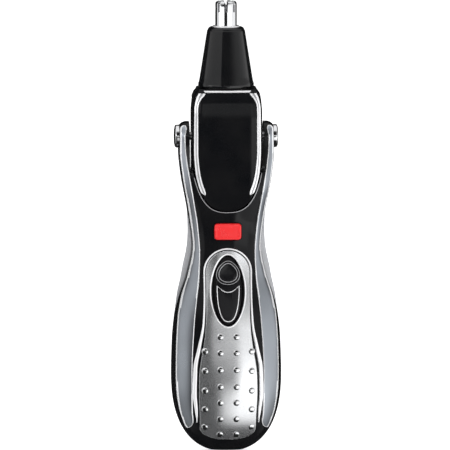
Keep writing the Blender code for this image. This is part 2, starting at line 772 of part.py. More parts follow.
def pod_half(side):
    exponent = POD_FACE_SQUARENESS if side < 0 else POD_SQUARENESS
    rings = []
    for z in [80.5, 100, 116, 119, 121.5, 123.5, 125, 126, POD_TOP]:
        ring = []
        for angle in evenly(0, pi, 17):
            x, y = oval_point(through(POD_HALF_WIDTHS, z), through(POD_DEPTHS, z), exponent, angle)
            ring.append((x, side * max(SPLIT, y), z))
        rings.append(ring)
    return loft(rings)


def pod_envelope():
    """Everything inside the turned lower end and above it: the head is the part of its section within this."""
    rings = []
    limit = POD_HALF_WIDTH + 0.1
    for turn in evenly(-pi / 2, pi / 2, 15):
        x = (limit + 0.2) * sin(turn)
        radius = max(11.4, turned_end(limit, POD_END_RADIUS, x))
        ring = [(x, radius * cos(angle), PIVOT_Z - radius * sin(angle)) for angle in evenly(0, pi, 21)]
        rings.append(ring + [(x, -radius, 130), (x, radius, 130)])
    return loft(rings)


def pod_hollow():
    rings = []
    for z, half_width, depth in ((88, 7.0, 7.5), (94, 9.4, 8.7), (100, 10.5, 8.7), (119.5, 10.5, 8.5)):
        rings.append([(*oval_point(half_width, depth, POD_SQUARENESS, a), z) for a in evenly(0, tau * 23 / 24, 24)])
    return loft(rings)


TRIM_BOTTOM = 89.65
TRIM_TOP = 125.1
TRIM_INNER = (
    (TRIM_BOTTOM, 7.4),
    (90.7, 7.55),
    (93.9, 8.65),
    (98.0, 9.55),
    (105.0, 10.15),
    (119.6, 10.15),
    (121.9, 9.75),
    (123.3, 8.95),
    (TRIM_TOP, 7.6),
)
TRIM_OUTER = (
    (TRIM_BOTTOM, 8.4),
    (90.7, 9.35),
    (93.9, 10.45),
    (98.0, 11.25),
    (105.0, 11.7),
    (119.6, 11.6),
    (122.2, 11.25),
    (123.9, 10.8),
    (TRIM_TOP, 10.2),
)
TOP_TRIM_HALF_LENGTH = 8.6
TOP_TRIM_LOW = 125.45
TOP_TRIM_HIGH = 126.05


def trim_edges(z, side, grow=0.0):
    """A side trim's edges: it tapers to its lower end, and spreads inward at its upper end."""
    edges = side * (through(TRIM_INNER, z) - grow), side * (through(TRIM_OUTER, z) + grow)
    return min(edges), max(edges)


def trim_heights(grow=0.0):
    return [TRIM_BOTTOM - grow, 90.2, 92, 94.5, 97.5, 101, 106, 116, 120.5, 122.4, 123.9, TRIM_TOP + grow]


def side_trim(side, grow, outer, inner):
    """One side trim, or the cutter for its recess."""
    return sheet(pod_surface, trim_heights(grow), lambda z: trim_edges(z, side, grow), outer, inner, 4)


def make_head():
    front = add_object("head_front_shell", pod_half(-1), gloss_black())
    rear = add_object("head_rear_shell", pod_half(1), gloss_black())
    envelope = add_object("keep_inside_turned_end", pod_envelope())
    hollow = add_object("cut_head_hollow", pod_hollow())
    throat = add_object("cut_throat", turned([(0, 119), (6.5, 119), (6.5, 121.5), (0, 121.5)], 28))
    seat = add_object("cut_nozzle_seat", turned([(0, 121.1), (8.3, 121.1), (8.3, 130), (0, 130)], 28))
    bushes = add_object("cut_bush_holes", rod(2.8, (-14, 0, PIVOT_Z), (14, 0, PIVOT_Z)))
    tools = [envelope, hollow, throat, seat, bushes]

    places = head_screw_places()
    threads = joined([rod(1.05, (x, -4.2, z), (x, 1, z), 10) for x, z, _ in places])
    clearances = joined([rod(1.1, (x, -1, z), (x, head_y + 1, z), 10) for x, z, head_y in places])
    heads = joined([rod(1.9, (x, head_y, z), (x, 16, z), 14) for x, z, head_y in places])
    threads = add_object("cut_head_threads", threads)
    clearances = add_object("cut_head_clearances", clearances)
    heads = add_object("cut_head_screw_seats", heads)
    catch_pocket = add_object("cut_catch_pocket", block((-2.6, -3.6, 80.0), (2.6, 0, 85.3)))
    top_trim_hole = add_object("cut_top_trim", top_trim(OPEN_OUT, TRIM_RECESS_IN, GAP))
    trim_holes = []
    for name, side in (("left", -1), ("right", 1)):
        trim_holes.append(add_object(f"cut_trim_{name}", side_trim(side, GAP / 2, OPEN_OUT, TRIM_RECESS_IN)))
        trim = side_trim(side, 0, TRIM_OUT, TRIM_IN)
        carry(head_axis, add_object(f"head_trim_{name}", trim, bright_chrome()))
    carry(head_axis, add_object("head_top_trim", top_trim(TRIM_OUT, TRIM_IN, 0), bright_chrome()))

    for shell in (front, rear):
        use(shell, "INTERSECT", envelope)
        cut(shell, hollow, throat, seat, bushes)
    cut(front, threads, catch_pocket, top_trim_hole, *trim_holes)
    cut(rear, clearances, heads)
    tools += [threads, clearances, heads, catch_pocket, top_trim_hole, *trim_holes]
    carry(head_axis, front, rear, *tools)

    catch = add_object("lock_catch", block((-2.3, -3.3, 82.6), (2.3, -0.45, 85.0)), plain_steel())
    notch = add_object("cut_catch_notch", block((-1.7, -2.9, 81.0), (1.7, -0.85, 84.2)))
    cut(catch, notch)
    carry(head_axis, catch, notch)


def top_trim(outer, inner, grow):
    """The short bright bar across the top of the head's face."""
    half = TOP_TRIM_HALF_LENGTH + grow
    heights = (TOP_TRIM_LOW - grow / 2, TOP_TRIM_HIGH + grow / 2)
    return sheet(pod_surface, heights, lambda z: (-half, half), outer, inner, 13)


def head_screw_places():
    """(x, z, y of the seat) of the three screws, two at the top corners and one low down behind the cradle wall."""
    return [(-10.2, 123.2, 3.2), (10.2, 123.2, 3.2), (0.0, 86.8, 8.0)]


def make_head_screws():
    for (x, z, seat), name in zip(head_screw_places(), ("left", "right", "lower")):
        profile = [(0, 0), (0.75, 0), (0.75, seat + 3), (1.6, seat + 3), (1.6, seat + 4.1), (0, seat + 4.1)]
        bm = turned(profile, 14)
        bm.transform(Matrix.Translation((x, GAP - 3, z)) @ Matrix.Rotation(-pi / 2, 4, "X"))
        carry(head_axis, add_object(f"head_screw_{name}", bm, plain_steel()))


def make_pivot():
    for name, side in (("left", -1), ("right", 1)):
        pin = rod(PIN_RADIUS, (side * PIN_INNER, 0, PIVOT_Z), (side * (CAP_SEAT - 0.1), 0, PIVOT_Z))
        add_object(f"pivot_pin_{name}", pin, plain_steel())
        thickness = CAP_OUTER - CAP_SEAT - GAP
        profile = [(0, 0), (CAP_RADIUS, 0), (CAP_RADIUS, thickness - 0.9), (3.6, thickness - 0.35)]
        cap = turned(profile + [(2.9, thickness - 0.05), (0, thickness)], 28)
        cap.transform(Matrix.Translation((side * (CAP_SEAT + GAP), 0, PIVOT_Z)) @ Matrix.Rotation(side * pi / 2, 4, "Y"))
        add_object(f"pivot_cap_{name}", cap, bright_chrome())
        bush = turned([(PIN_RADIUS + GAP, 0), (2.5, 0), (2.5, 1.45), (PIN_RADIUS + GAP, 1.45)], 20)
        bush.transform(Matrix.Translation((side * 10.8, 0, PIVOT_Z)) @ Matrix.Rotation(side * pi / 2, 4, "Y"))
        carry(head_axis, add_object(f"pivot_bush_{name}", bush, plain_brass()))


def make_motor():
    can = turned([(0, 95), (7.7, 95), (7.7, 115), (2.8, 115), (2.8, 116.2), (1.3, 116.2), (1.3, 101), (0, 101)], 28)
    can = add_object("motor_can", can, plain_steel())
    cap = add_object("motor_end_cap", turned([(0, 92.4), (6.8, 92.4), (7.3, 94.7), (0, 94.7)], 28), dark_plastic())
    plate = turned([(3.2, 116.6), (8.2, 116.6), (8.2, 117.7), (3.2, 117.7)], 28)
    mount = add_object("motor_mount", plate, dark_plastic())
    carry(head_axis, can, cap, mount)
    for name, side in (("left", -1), ("right", 1)):
        tab = block((side * 4 - 0.3, -1, 89.4), (side * 4 + 0.3, 1, 92.1))
        carry(head_axis, add_object(f"motor_terminal_{name}", tab, plain_brass()))
    seat = [(5, 121.4), (8, 121.4), (8, 126.6), (7.9, 126.6), (7.9, 128.6), (5, 128.6)]
    carry(head_axis, add_object("nozzle_seat", turned(seat, 28), dark_plastic()))


# ---------------------------------------------------------------- nozzle and cutter
def make_nozzle():
    profile = [(8.3, CONE_BASE_Z), (CONE_BASE_RADIUS, CONE_BASE_Z), (CONE_BASE_RADIUS - 0.1, CONE_BASE_Z + 1.2)]
    for share in (0.5, 1.0):
        radius = CONE_BASE_RADIUS + (CONE_TOP_RADIUS - CONE_BASE_RADIUS) * share
        profile.append((radius, CONE_BASE_Z + (CONE_TOP_Z - 1.3 - CONE_BASE_Z) * share))
    profile += [(CONE_TOP_RADIUS - 0.25, CONE_TOP_Z - 0.6), (CONE_TOP_RADIUS - 0.75, CONE_TOP_Z - 0.15)]
    profile += [(CONE_TOP_RADIUS - 1.3, CONE_TOP_Z), (5.0, CONE_TOP_Z), (5.0, CONE_TOP_Z - 0.8)]
    profile += [(4.05, CONE_TOP_Z - 0.8), (4.05, 143.5), (5.2, 141.5), (8.3, 129.2)]
    cone = add_object("nozzle_cone", turned(profile, 28), gloss_black())
    ring = [(4.05, CONE_TOP_Z - 0.5), (4.7, CONE_TOP_Z - 0.5), (4.7, CONE_TOP_Z + 0.1), (4.4, CONE_TOP_Z + 0.4)]
    collar = add_object("cutter_collar", turned(ring + [(4.05, CONE_TOP_Z + 0.4)], 28), bright_chrome())

    inside = TUBE_RADIUS - 0.45
    profile = [(0, TUBE_TOP_Z - 0.7), (inside - 0.6, TUBE_TOP_Z - 0.8), (inside, TUBE_TOP_Z - 1.3), (inside, 140.6)]
    profile += [(TUBE_RADIUS, 140.6), (TUBE_RADIUS, TUBE_TOP_Z - 1.3), (TUBE_RADIUS - 0.35, TUBE_TOP_Z - 0.5)]
    tube = add_object("cutter_tube", turned(profile + [(2.7, TUBE_TOP_Z), (0, TUBE_TOP_Z)], 24), bright_chrome())
    tools = []
    for number in range(4):
        half = SLOT_WIDTH / 2
        slot = block((-6, -half, SLOT_BOTTOM_Z), (6, half, TUBE_TOP_Z + 2))
        slot.transform(Matrix.Rotation(number * pi / 4, 4, "Z"))
        tools.append(add_object(f"cut_tip_slot_{number + 1}", slot))
    cut(tube, *tools)
    bush = add_object("spindle_bush", turned([(1.3, 141.5), (3, 141.5), (3, 145), (1.3, 145)], 20), plain_brass())
    carry(cutter_axis, cone, collar, tube, bush, *tools)


def cross(arm, half_thickness):
    """The outline of the four-winged blade, from above."""
    a, t = arm, half_thickness
    return [(a, -t), (a, t), (t, t), (t, a), (-t, a), (-t, t), (-a, t), (-a, -t), (-t, -t), (-t, -a), (t, -a), (t, -t)]


def make_rotor():
    shaft = add_object("motor_shaft", rod(1.0, (0, 0, 101.4), (0, 0, 121.2)), plain_steel())
    coupling = turned([(1.3, 118.1), (2.4, 118.1), (2.4, 124.3), (1.3, 124.3)], 20)
    coupling = add_object("drive_coupling", coupling, dark_plastic())
    spindle = add_object("drive_spindle", rod(1.0, (0, 0, 121.5), (0, 0, 149.4)), plain_steel())
    blade = loft([[(x, y, z) for x, y in cross(2.95, 0.45)] for z in (149.7, 155.2)])
    blade = add_object("inner_blade", blade, plain_steel())
    carry(cutter_axis, shaft, coupling, spindle, blade)


make_handle_shells()
make_housing_screws()
make_front_trim()
make_switch()
make_release()
make_battery()
make_head()
make_head_screws()
make_pivot()
make_motor()
make_nozzle()
make_rotor()
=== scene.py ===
"""The looks of the nose hair trimmer: every visible piece as a fine mesh with its own procedural material.

Sizes here are in millimetres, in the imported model's own frame: +Z runs along the trimmer and its front
faces -Y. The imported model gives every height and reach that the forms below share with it.
"""

from math import asin, atan2, copysign, cos, exp, pi, radians, sin, sqrt, tau

import bmesh
import bpy
from mathutils import Matrix, Vector


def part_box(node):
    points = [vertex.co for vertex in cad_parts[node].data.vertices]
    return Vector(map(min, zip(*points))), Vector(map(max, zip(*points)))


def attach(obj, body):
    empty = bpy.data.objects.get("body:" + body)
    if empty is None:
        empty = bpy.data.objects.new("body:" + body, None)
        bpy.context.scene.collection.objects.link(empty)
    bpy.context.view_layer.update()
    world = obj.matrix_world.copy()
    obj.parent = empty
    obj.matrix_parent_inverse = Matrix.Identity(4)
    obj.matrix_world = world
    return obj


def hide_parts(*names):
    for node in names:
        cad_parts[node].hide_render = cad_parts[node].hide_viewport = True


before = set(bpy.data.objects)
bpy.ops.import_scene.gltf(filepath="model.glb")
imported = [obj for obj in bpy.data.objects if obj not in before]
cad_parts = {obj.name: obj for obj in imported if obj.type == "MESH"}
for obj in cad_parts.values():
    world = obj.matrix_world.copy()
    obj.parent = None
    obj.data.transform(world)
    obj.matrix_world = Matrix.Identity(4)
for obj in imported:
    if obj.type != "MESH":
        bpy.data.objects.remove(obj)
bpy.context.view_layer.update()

MM = 0.001


def box(node):
    """The lowest and highest corner of a CAD node, in millimetres."""
    low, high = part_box(node)
    return low / MM, high / MM


# ---- curves
def evenly(start, end, count):
    return [start + (end - start) * i / (count - 1) for i in range(count)]


def full_turn(count):
    return [tau * step / count for step in range(count)]


def arc(centre, radii, angles):
    return [(centre[0] + radii[0] * cos(angle), centre[1] + radii[1] * sin(angle)) for angle in angles]


def curve(*stations):
    """A smooth curve through (height, value) stations, as a function of the height."""

    def slope(index):
        """The slope at one station: level at the ends and at each peak or waist."""
        if index in (0, len(stations) - 1):
            return 0.0
        (z0, v0), (z1, v1), (z2, v2) = stations[index - 1 : index + 2]
        before = (v1 - v0) / (z1 - z0)
        after = (v2 - v1) / (z2 - z1)
        return 0.0 if before * after <= 0 else 2 * before * after / (before + after)

    def value(z):
        if z <= stations[0][0]:
            return stations[0][1]
        if z >= stations[-1][0]:
            return stations[-1][1]
        index = max(i for i, station in enumerate(stations) if station[0] <= z)
        (z0, v0), (z1, v1) = stations[index : index + 2]
        t = (z - z0) / (z1 - z0)
        rise0 = slope(index) * (z1 - z0)
        rise1 = slope(index + 1) * (z1 - z0)
        leaving = (v0 * (1 + 2 * t) + rise0 * t) * (1 - t) ** 2
        return leaving + (v1 * (3 - 2 * t) + rise1 * (t - 1)) * t * t

    return value


def signed_power(value, power):
    return copysign(abs(value) ** power, value)


def oval_point(half_width, depth, squareness, angle):
    power = 2 / squareness
    return half_width * signed_power(cos(angle), power), depth * signed_power(sin(angle), power)


def oval_depth(x, half_width, depth, squareness):
    return depth * max(0.0, 1 - abs(x / half_width) ** squareness) ** (1 / squareness)


AROUND = 97


def half_oval(half_width, depth, squareness):
    """Evenly spaced (x, y) points along half an oval, from +X round to -X."""
    fine = [oval_point(half_width, depth, squareness, angle) for angle in evenly(0, pi, 8 * AROUND)]
    run = [0.0]
    for (x0, y0), (x1, y1) in zip(fine, fine[1:]):
        run.append(run[-1] + sqrt((x1 - x0) ** 2 + (y1 - y0) ** 2))
    points, at = [], 0
    for wanted in evenly(0, run[-1], AROUND):
        while at < len(run) - 2 and run[at + 1] < wanted:
            at += 1
        share = (wanted - run[at]) / (run[at + 1] - run[at])
        (x0, y0), (x1, y1) = fine[at], fine[at + 1]
        points.append((x0 + (x1 - x0) * share, y0 + (y1 - y0) * share))
    return points


def rounding(distance, radius):
    """How far a rounded edge has dropped at this distance in from it."""
    if distance >= radius:
        return 0.0
    return radius - sqrt(radius**2 - (radius - max(0.0, distance)) ** 2)


def end_share(distance, reach, power=2.0):
    """How much of its full width a strip's rounded end has, at this distance from its tip."""
    return sqrt(max(0.0, 1 - (1 - min(1.0, distance / reach)) ** power))


def finer_at_ends(low, high, reach, steps, count):
    """Heights that lie closer together within reach of each end."""
    ends = [reach * (step / steps) ** 2 for step in range(steps)]
    middle = evenly(low + reach, high - reach, count)
    return [low + end for end in ends] + middle + [high - end for end in reversed(ends)]


# ---- the handle's form
PIN_LOW, PIN_HIGH = box("pivot_pin_right")
DOOR_LOW, DOOR_HIGH = box("battery_door")
BELLY_Z = 27.0
BELLY_HALF_WIDTH = box("handle_rear_shell")[1].x
BELLY_FRONT_DEPTH = 14.5  # the front shell is cut away here, under the plate
BELLY_REAR_DEPTH = DOOR_HIGH.y
BOTTOM_ROUNDNESS = 2.4
FOOT_TRIM = 0.7
WAIST_BULGE = 1.8
WAIST_BULGE_Z = 66.0
WAIST_BULGE_REACH = 20.0
WALL = 1.8
PIVOT_Z = (PIN_LOW.z + PIN_HIGH.z) / 2
PIN_RADIUS = (PIN_HIGH.z - PIN_LOW.z) / 2
ARM_END_RADIUS = 5.3
ARM_INNER = 12.95
ARM_CROWN_Z = 112.6
ARM_CROWN_HEIGHT = 2.3
SEAM = 0.06  # from the middle plane to each half, on a closed housing

upper_half_width = curve(
    (BELLY_Z, BELLY_HALF_WIDTH), (38.7, 18.9), (46.4, 18.2), (53.5, 16.7), (61.7, 14.0), (71.5, 12.2),
    (82.2, 13.4), (97.5, 16.0), (105.0, 16.7), (109.5, 16.6),
)
upper_front_depth = curve(
    (BELLY_Z, BELLY_FRONT_DEPTH), (43.5, 13.65), (67.5, 11.1), (76.0, 10.8), (88.0, 11.0), (109.5, 7.2)
)
upper_rear_depth = curve(
    (BELLY_Z, BELLY_REAR_DEPTH), (50.0, 14.0), (68.0, 12.3), (88.0, 13.0), (97.5, 12.6), (109.5, 7.2)
)
squareness = curve((80.0, 2.4), (100.0, 4.5))


def bottom_share(z):
    below = (BELLY_Z - z) / (BELLY_Z + FOOT_TRIM)
    return (1 - below**BOTTOM_ROUNDNESS) ** (1 / BOTTOM_ROUNDNESS)


def handle_half_width(z):
    if z < BELLY_Z:
        return BELLY_HALF_WIDTH * bottom_share(z)
    width = upper_half_width(z)
    if z > ARM_CROWN_Z:
        above = min(0.99, (z - ARM_CROWN_Z) / ARM_CROWN_HEIGHT)
        width = ARM_INNER + (width - ARM_INNER) * sqrt(1 - above**2)
    return width


def rear_half_width(z):
    """The rear half is wider at the waist."""
    away = min(1.0, abs(z - WAIST_BULGE_Z) / WAIST_BULGE_REACH)
    return handle_half_width(z) + WAIST_BULGE * cos(away * pi / 2) ** 2


def handle_depth(z, side):
    if z < BELLY_Z:
        return (BELLY_FRONT_DEPTH if side < 0 else BELLY_REAR_DEPTH) * bottom_share(z)
    above = min(0.999, max(0.0, (z - PIVOT_Z) / ARM_END_RADIUS))
    return (upper_front_depth if side < 0 else upper_rear_depth)(z) * sqrt(1 - above**2)


# ---- the tilting head's form
POD_LOW, POD_HIGH = box("head_front_shell")
POD_HALF_WIDTH = POD_HIGH.x
POD_DEPTH = -POD_LOW.y
POD_TOP = POD_HIGH.z
POD_SQUARENESS = 3.0
POD_FACE_SQUARENESS = 7.0
POD_END_RADIUS = 27.2
POD_END_ROUNDNESS = 2.6
CRADLE_GAP = 0.65
CRADLE_WALL_TOP = 97.5

pod_half_width = curve(
    (80.0, POD_HALF_WIDTH), (118.0, POD_HALF_WIDTH), (122.0, 12.0), (124.8, 11.5), (POD_TOP, 10.4)
)
pod_depth = curve((80.0, POD_DEPTH), (116.0, POD_DEPTH), (121.0, 10.0), (124.8, 9.4), (POD_TOP, 8.8))


# ---- mesh helpers
def facing_out(bm):
    bmesh.ops.recalc_face_normals(bm, faces=bm.faces)
    if bm.calc_volume(signed=True) < 0:
        bmesh.ops.reverse_faces(bm, faces=bm.faces)
    return bm


def loft(rings, closed=False):
    """A closed mesh through rings that have the same number of points; closed joins the last to the first."""
    bm = bmesh.new()
    loops = [[bm.verts.new(point) for point in ring] for ring in rings]
    pairs = list(zip(loops, loops[1:]))
    if closed:
        pairs.append((loops[-1], loops[0]))
    for low, high in pairs:
        for i, here in enumerate(low):
            after = (i + 1) % len(low)
            bm.faces.new((here, low[after], high[after], high[i]))
    if not closed:
        bm.faces.new(loops[0])
        bm.faces.new(reversed(loops[-1]))
    return facing_out(bm)


def turned(profile, steps=96):
    """A solid turned about the Z axis from (radius, height) pairs, or a ring if they start off the axis."""
    bm = bmesh.new()
    verts = [bm.verts.new((radius, 0, height)) for radius, height in profile]
    edges = [bm.edges.new(pair) for pair in zip(verts, verts[1:])]
    if profile[0][0] > 0:
        edges.append(bm.edges.new((verts[-1], verts[0])))
    bmesh.ops.spin(bm, geom=verts + edges, axis=(0, 0, 1), cent=(0, 0, 0), angle=tau, steps=steps)
    bmesh.ops.remove_doubles(bm, verts=bm.verts, dist=1e-4)
    return facing_out(bm)


def bore(radius, low, high):
    return turned([(0, low), (radius, low), (radius, high), (0, high)])


def placed(bm, matrix):
    bm.transform(matrix)
    return bm


def facing(direction):
    """The turn that takes +Z to a direction."""
    return direction.to_track_quat("Z", "Y").to_matrix().to_4x4()


def rod(radius, start, end, steps=48):
    start, end = Vector(start), Vector(end)
    bm = bmesh.new()
    length = (end - start).length
    bmesh.ops.create_cone(bm, cap_ends=True, segments=steps, radius1=radius, radius2=radius, depth=length)
    return facing_out(placed(bm, Matrix.Translation((start + end) / 2) @ facing(end - start)))


def rods(radius, places, start, end, steps=32):
    """Rods along Y at (x, y, z) places, which give only their x and z."""
    return joined([rod(radius, (x, start, z), (x, end, z), steps) for x, _, z in places])


def block(low, high):
    low, high = Vector(low), Vector(high)
    bm = bmesh.new()
    bmesh.ops.create_cube(bm, size=1)
    return placed(bm, Matrix.Translation((low + high) / 2) @ Matrix.Diagonal((*(high - low), 1)))


def joined(meshes):
    """Several separate closed meshes held as one."""
    whole = meshes[0]
    for other in meshes[1:]:
        copies = {vert: whole.verts.new(vert.co) for vert in other.verts}
        for face in other.faces:
            whole.faces.new([copies[vert] for vert in face.verts])
        other.free()
    return whole


def stacked(outline, levels):
    """A solid along Y. Each level ends with its y, and outline() makes its (x, z) points from the rest."""
    return loft([[(x, y, z) for x, z in outline(*sizes)] for *sizes, y in levels])


def half_round(half_width, out, inner, steps=9, lift=0.0):
    """A bar's section with a rounded top, as (across, out) pairs."""
    top = arc((0, lift), (half_width, out), evenly(0, pi, steps))
    return top + [(-half_width, inner + lift), (half_width, inner + lift)]


def smooth(obj, crease=35):
    obj.data.shade_smooth()
    obj.data.set_sharp_from_angle(angle=radians(crease))


def link(name, bm):
    """Makes a mesh in millimetres into an object in metres, smooth except where it bends sharply."""
    bm.transform(Matrix.Scale(MM, 4))
    mesh = bpy.data.meshes.new(name)
    bm.to_mesh(mesh)
    bm.free()
    obj = bpy.data.objects.new(name, mesh)
    bpy.context.scene.collection.objects.link(obj)
    smooth(obj)
    return obj


NUDGES = (0.0, 0.006, -0.006, 0.013, -0.013)  # millimetres


def carve(obj, operation, bm):
    """Runs one Boolean on the object, with its tool moved by a hair where nearly coinciding faces spoil it."""
    tool = link("tool", bm)
    modifier = obj.modifiers.new("carve", "BOOLEAN")
    modifier.operation = operation
    modifier.solver = "EXACT"
    modifier.object = tool
    for nudge in NUDGES:
        tool.location = Vector((nudge, nudge, nudge)) * MM
        graph = bpy.context.evaluated_depsgraph_get()
        mesh = bpy.data.meshes.new_from_object(obj.evaluated_get(graph))
        if len(mesh.polygons) > len(obj.data.polygons) / 2:
            break
    else:
        raise ValueError(f"{obj.name}: a Boolean lost the mesh")
    obj.modifiers.remove(modifier)
    old, obj.data = obj.data, mesh
    bpy.data.meshes.remove(old)
    bpy.data.objects.remove(tool, do_unlink=True)


def cut(obj, *cutters):
    for bm in cutters:
        carve(obj, "DIFFERENCE", bm)


# ---- housings and what is let into them
STEP = 0.05  # for slopes
FAR_AWAY = (9.0, Vector((0, 0, 1)))
FIT = 0.08  # the gap round an inlay
PLATE_OUT = 0.35
INLAY_IN = -0.65
OPEN_OUT = 3.0
GROOVE_SHARE = 0.16  # of a strip's width
# The width of the near-white band along each rail's edges, a painted highlight.
BORDER_WIDTH = 0.36


def steepness(value, size, power):
    """The slope of abs(value / size) ** power."""
    return copysign(power * abs(value / size) ** (power - 1) / size, value)


class Housing:
    """One half of a housing: at each height it is half an oval, in front (side -1) or behind (side 1)."""

    def __init__(self, side, *sizes):
        self.side = side
        self.sizes = sizes

    def oval(self, z):
        """The half width, depth and squareness at a height."""
        return [size(z) for size in self.sizes]

    def solid(self, heights):
        """The half as a block, with its flat side just short of the middle plane."""
        rings = []
        for z in heights:
            rings.append([(x, self.side * max(SEAM, y), z) for x, y in half_oval(*self.oval(z))])
        return loft(rings)

    def surface(self, x, z):
        return Vector((x, self.side * oval_depth(x, *self.oval(z)), z))

    def at(self, x, z, out):
        """A point above the surface (or below it, where out is negative), along its outward normal."""
        along_x = self.surface(x + STEP, z) - self.surface(x - STEP, z)
        along_z = self.surface(x, z + STEP) - self.surface(x, z - STEP)
        normal = along_x.cross(along_z).normalized()
        here = self.surface(x, z)
        if normal.y * here.y < 0:
            normal.negate()
        return here + normal * out

    def level(self, point, z):
        half_width, depth, power = self.oval(z)
        return abs(point.x / half_width) ** power + abs(point.y / depth) ** power - 1

    def form(self, point):
        """The distance of a point from the surface, roughly, and the surface's normal there."""
        half_width, depth, power = self.oval(point.z)
        slope = Vector((
            steepness(point.x, half_width, power),
            steepness(point.y, depth, power),
            (self.level(point, point.z + STEP) - self.level(point, point.z - STEP)) / (2 * STEP),
        ))
        if slope.length < 1e-6:
            return FAR_AWAY
        return self.level(point, point.z) / slope.length, slope.normalized()


FRONT = Housing(-1, handle_half_width, lambda z: handle_depth(z, -1), squareness)
REAR = Housing(1, rear_half_width, lambda z: handle_depth(z, 1), squareness)
POD_FRONT = Housing(-1, pod_half_width, pod_depth, lambda z: POD_FACE_SQUARENESS)
POD_REAR = Housing(1, pod_half_width, pod_depth, lambda z: POD_SQUARENESS)


def pod_end_form(point):
    """The same as Housing.form, for the head's lower end, which is turned about the pivot axis."""
    reach = POD_HALF_WIDTH + 0.1
    radius = sqrt(point.y**2 + (point.z - PIVOT_Z) ** 2)
    if radius < 11.5:
        return FAR_AWAY
    power = POD_END_ROUNDNESS
    level = abs(point.x / reach) ** power + (radius / POD_END_RADIUS) ** power - 1
    along = steepness(radius, POD_END_RADIUS, power) / radius
    slope = Vector((steepness(point.x, reach, power), along * point.y, along * (point.z - PIVOT_Z)))
    return level / slope.length, slope.normalized()


def true_normals(obj, *forms):
    """Gives the corners that lie on a known form that form's own normals, so that gloss shows no facets."""
    near, agree = 0.05, 0.9
    mesh = obj.data
    found = [[form(vert.co / MM) for form in forms] for vert in mesh.vertices]
    normals = [Vector(corner.vector) for corner in mesh.corner_normals]
    for face in mesh.polygons:
        for corner in face.loop_indices:
            for distance, normal in found[mesh.loops[corner].vertex_index]:
                if abs(distance) < near and normal.dot(face.normal) > agree:
                    normals[corner] = normal
                    break
    mesh.normals_split_custom_set(normals)


def inlay(housing, heights, edges, outer, inner, edge_radius, columns, groove=0.0):
    """A strip let into a housing, with rounded edges. edges(z) gives its left and right x."""
    rings = []
    shares = [0.5 - 0.5 * cos(pi * step / (columns - 1)) for step in range(columns)]
    for z in heights:
        left, right = edges(z)
        from_end = min(z - heights[0], heights[-1] - z)
        top = []
        for share in shares:
            x = left + (right - left) * share
            from_edge = min(x - left, right - x, from_end)
            sunk = rounding(from_edge, edge_radius) + groove * exp(-(((share - 0.5) / GROOVE_SHARE) ** 2))
            top.append(housing.at(x, z, outer - sunk))
        rings.append(top + [housing.at(x, z, inner) for x in evenly(right, left, columns)])
    return loft(rings)


def pocket(housing, heights, edges, columns, mouth=OPEN_OUT, floor=INLAY_IN - FIT, flare=0.08):
    """A cutter for an inlay's recess, a little wider at its mouth."""
    rings = []
    for z in heights:
        left, right = edges(z)
        ring = [housing.at(x, z, mouth) for x in evenly(left - flare, right + flare, columns)]
        rings.append(ring + [housing.at(x, z, floor) for x in evenly(right, left, columns)])
    return loft(rings)


def paint_light_on_faces(strip, edges, material, chosen):
    """Gives some of a strip's faces another material that paints light on them: painted highlight on the rail
    borders, painted shade in the trim grooves. chosen(x, left, right) picks them.
    """
    strip.data.materials.append(material)
    for face in strip.data.polygons:
        x, _, z = face.center / MM
        if chosen(x, *edges(z)):
            face.material_index = 1


def near_border(x, left, right):
    return min(x - left, right - x) < BORDER_WIDTH


def in_groove(x, left, right):
    return abs((x - left) / (right - left) - 0.5) < GROOVE_SHARE


# ---- materials
class Tree:
    """A short way to build a node tree."""

    def __init__(self, tree):
        self.tree = tree

    def add(self, kind, settings=None, **inputs):
        """Adds a node, sets its properties, and links or sets its inputs by name."""
        node = self.tree.nodes.new(kind)
        for key, value in (settings or {}).items():
            setattr(node, key, value)
        for key, value in inputs.items():
            self.feed(node, key.replace("_", " "), value)
        return node

    def feed(self, node, key, value):
        socket = node.inputs[key]
        if isinstance(value, bpy.types.NodeSocket):
            self.tree.links.new(value, socket)
        else:
            socket.default_value = value


class Nodes(Tree):
    """A material's node tree."""

    def __init__(self, name):
        self.material = bpy.data.materials.new(name)
        self.material.use_nodes = True
        super().__init__(self.material.node_tree)
        self.place = self.add("ShaderNodeTexCoord").outputs["Object"]

    def stretched(self, *scale):
        return self.add("ShaderNodeMapping", Vector=self.place, Scale=scale).outputs["Vector"]

    def noise(self, size, detail=2.0, roughness=0.5, place=None):
        """Noise whose features are about size millimetres across."""
        inputs = {"Scale": 1 / (size * MM), "Detail": detail, "Roughness": roughness}
        return self.add("ShaderNodeTexNoise", Vector=place or self.place, **inputs).outputs["Fac"]

    def spread(self, value, low, high, from_low=0.3, from_high=0.7):
        inputs = {"From_Min": from_low, "From_Max": from_high, "To_Min": low, "To_Max": high}
        return self.add("ShaderNodeMapRange", {"clamp": True}, Value=value, **inputs).outputs["Result"]

    def mix(self, share, *colours):
        """Mixes two colours, each three numbers or another node's output."""
        node = self.add("ShaderNodeMix", {"data_type": "RGBA"}, Factor=share)
        for index, value in enumerate(colours, 6):
            self.feed(node, index, value if isinstance(value, bpy.types.NodeSocket) else (*value, 1))
        return node.outputs[2]

    def tint(self, noise, dark, light, low=0.3, high=0.7):
        return self.mix(self.spread(noise, 0, 1, low, high), dark, light)

    def relief(self, height, depth, edge=0.0):
        """A bump of about depth millimetres, with every sharp edge softened by edge millimetres."""
        bump = self.add("ShaderNodeBump", Height=height, Distance=depth * MM, Strength=1.0)
        if edge:
            bevel = self.add("ShaderNodeBevel", {"samples": 6}, Radius=edge * MM)
            self.feed(bump, "Normal", bevel.outputs["Normal"])
        return bump.outputs["Normal"]

    def finish(self, tint, polish, **inputs):
        shader = self.tree.nodes["Principled BSDF"]
        for key, value in {"Base_Color": tint, "Roughness": polish, **inputs}.items():
            self.feed(shader, key.replace("_", " "), value)
        return self.material


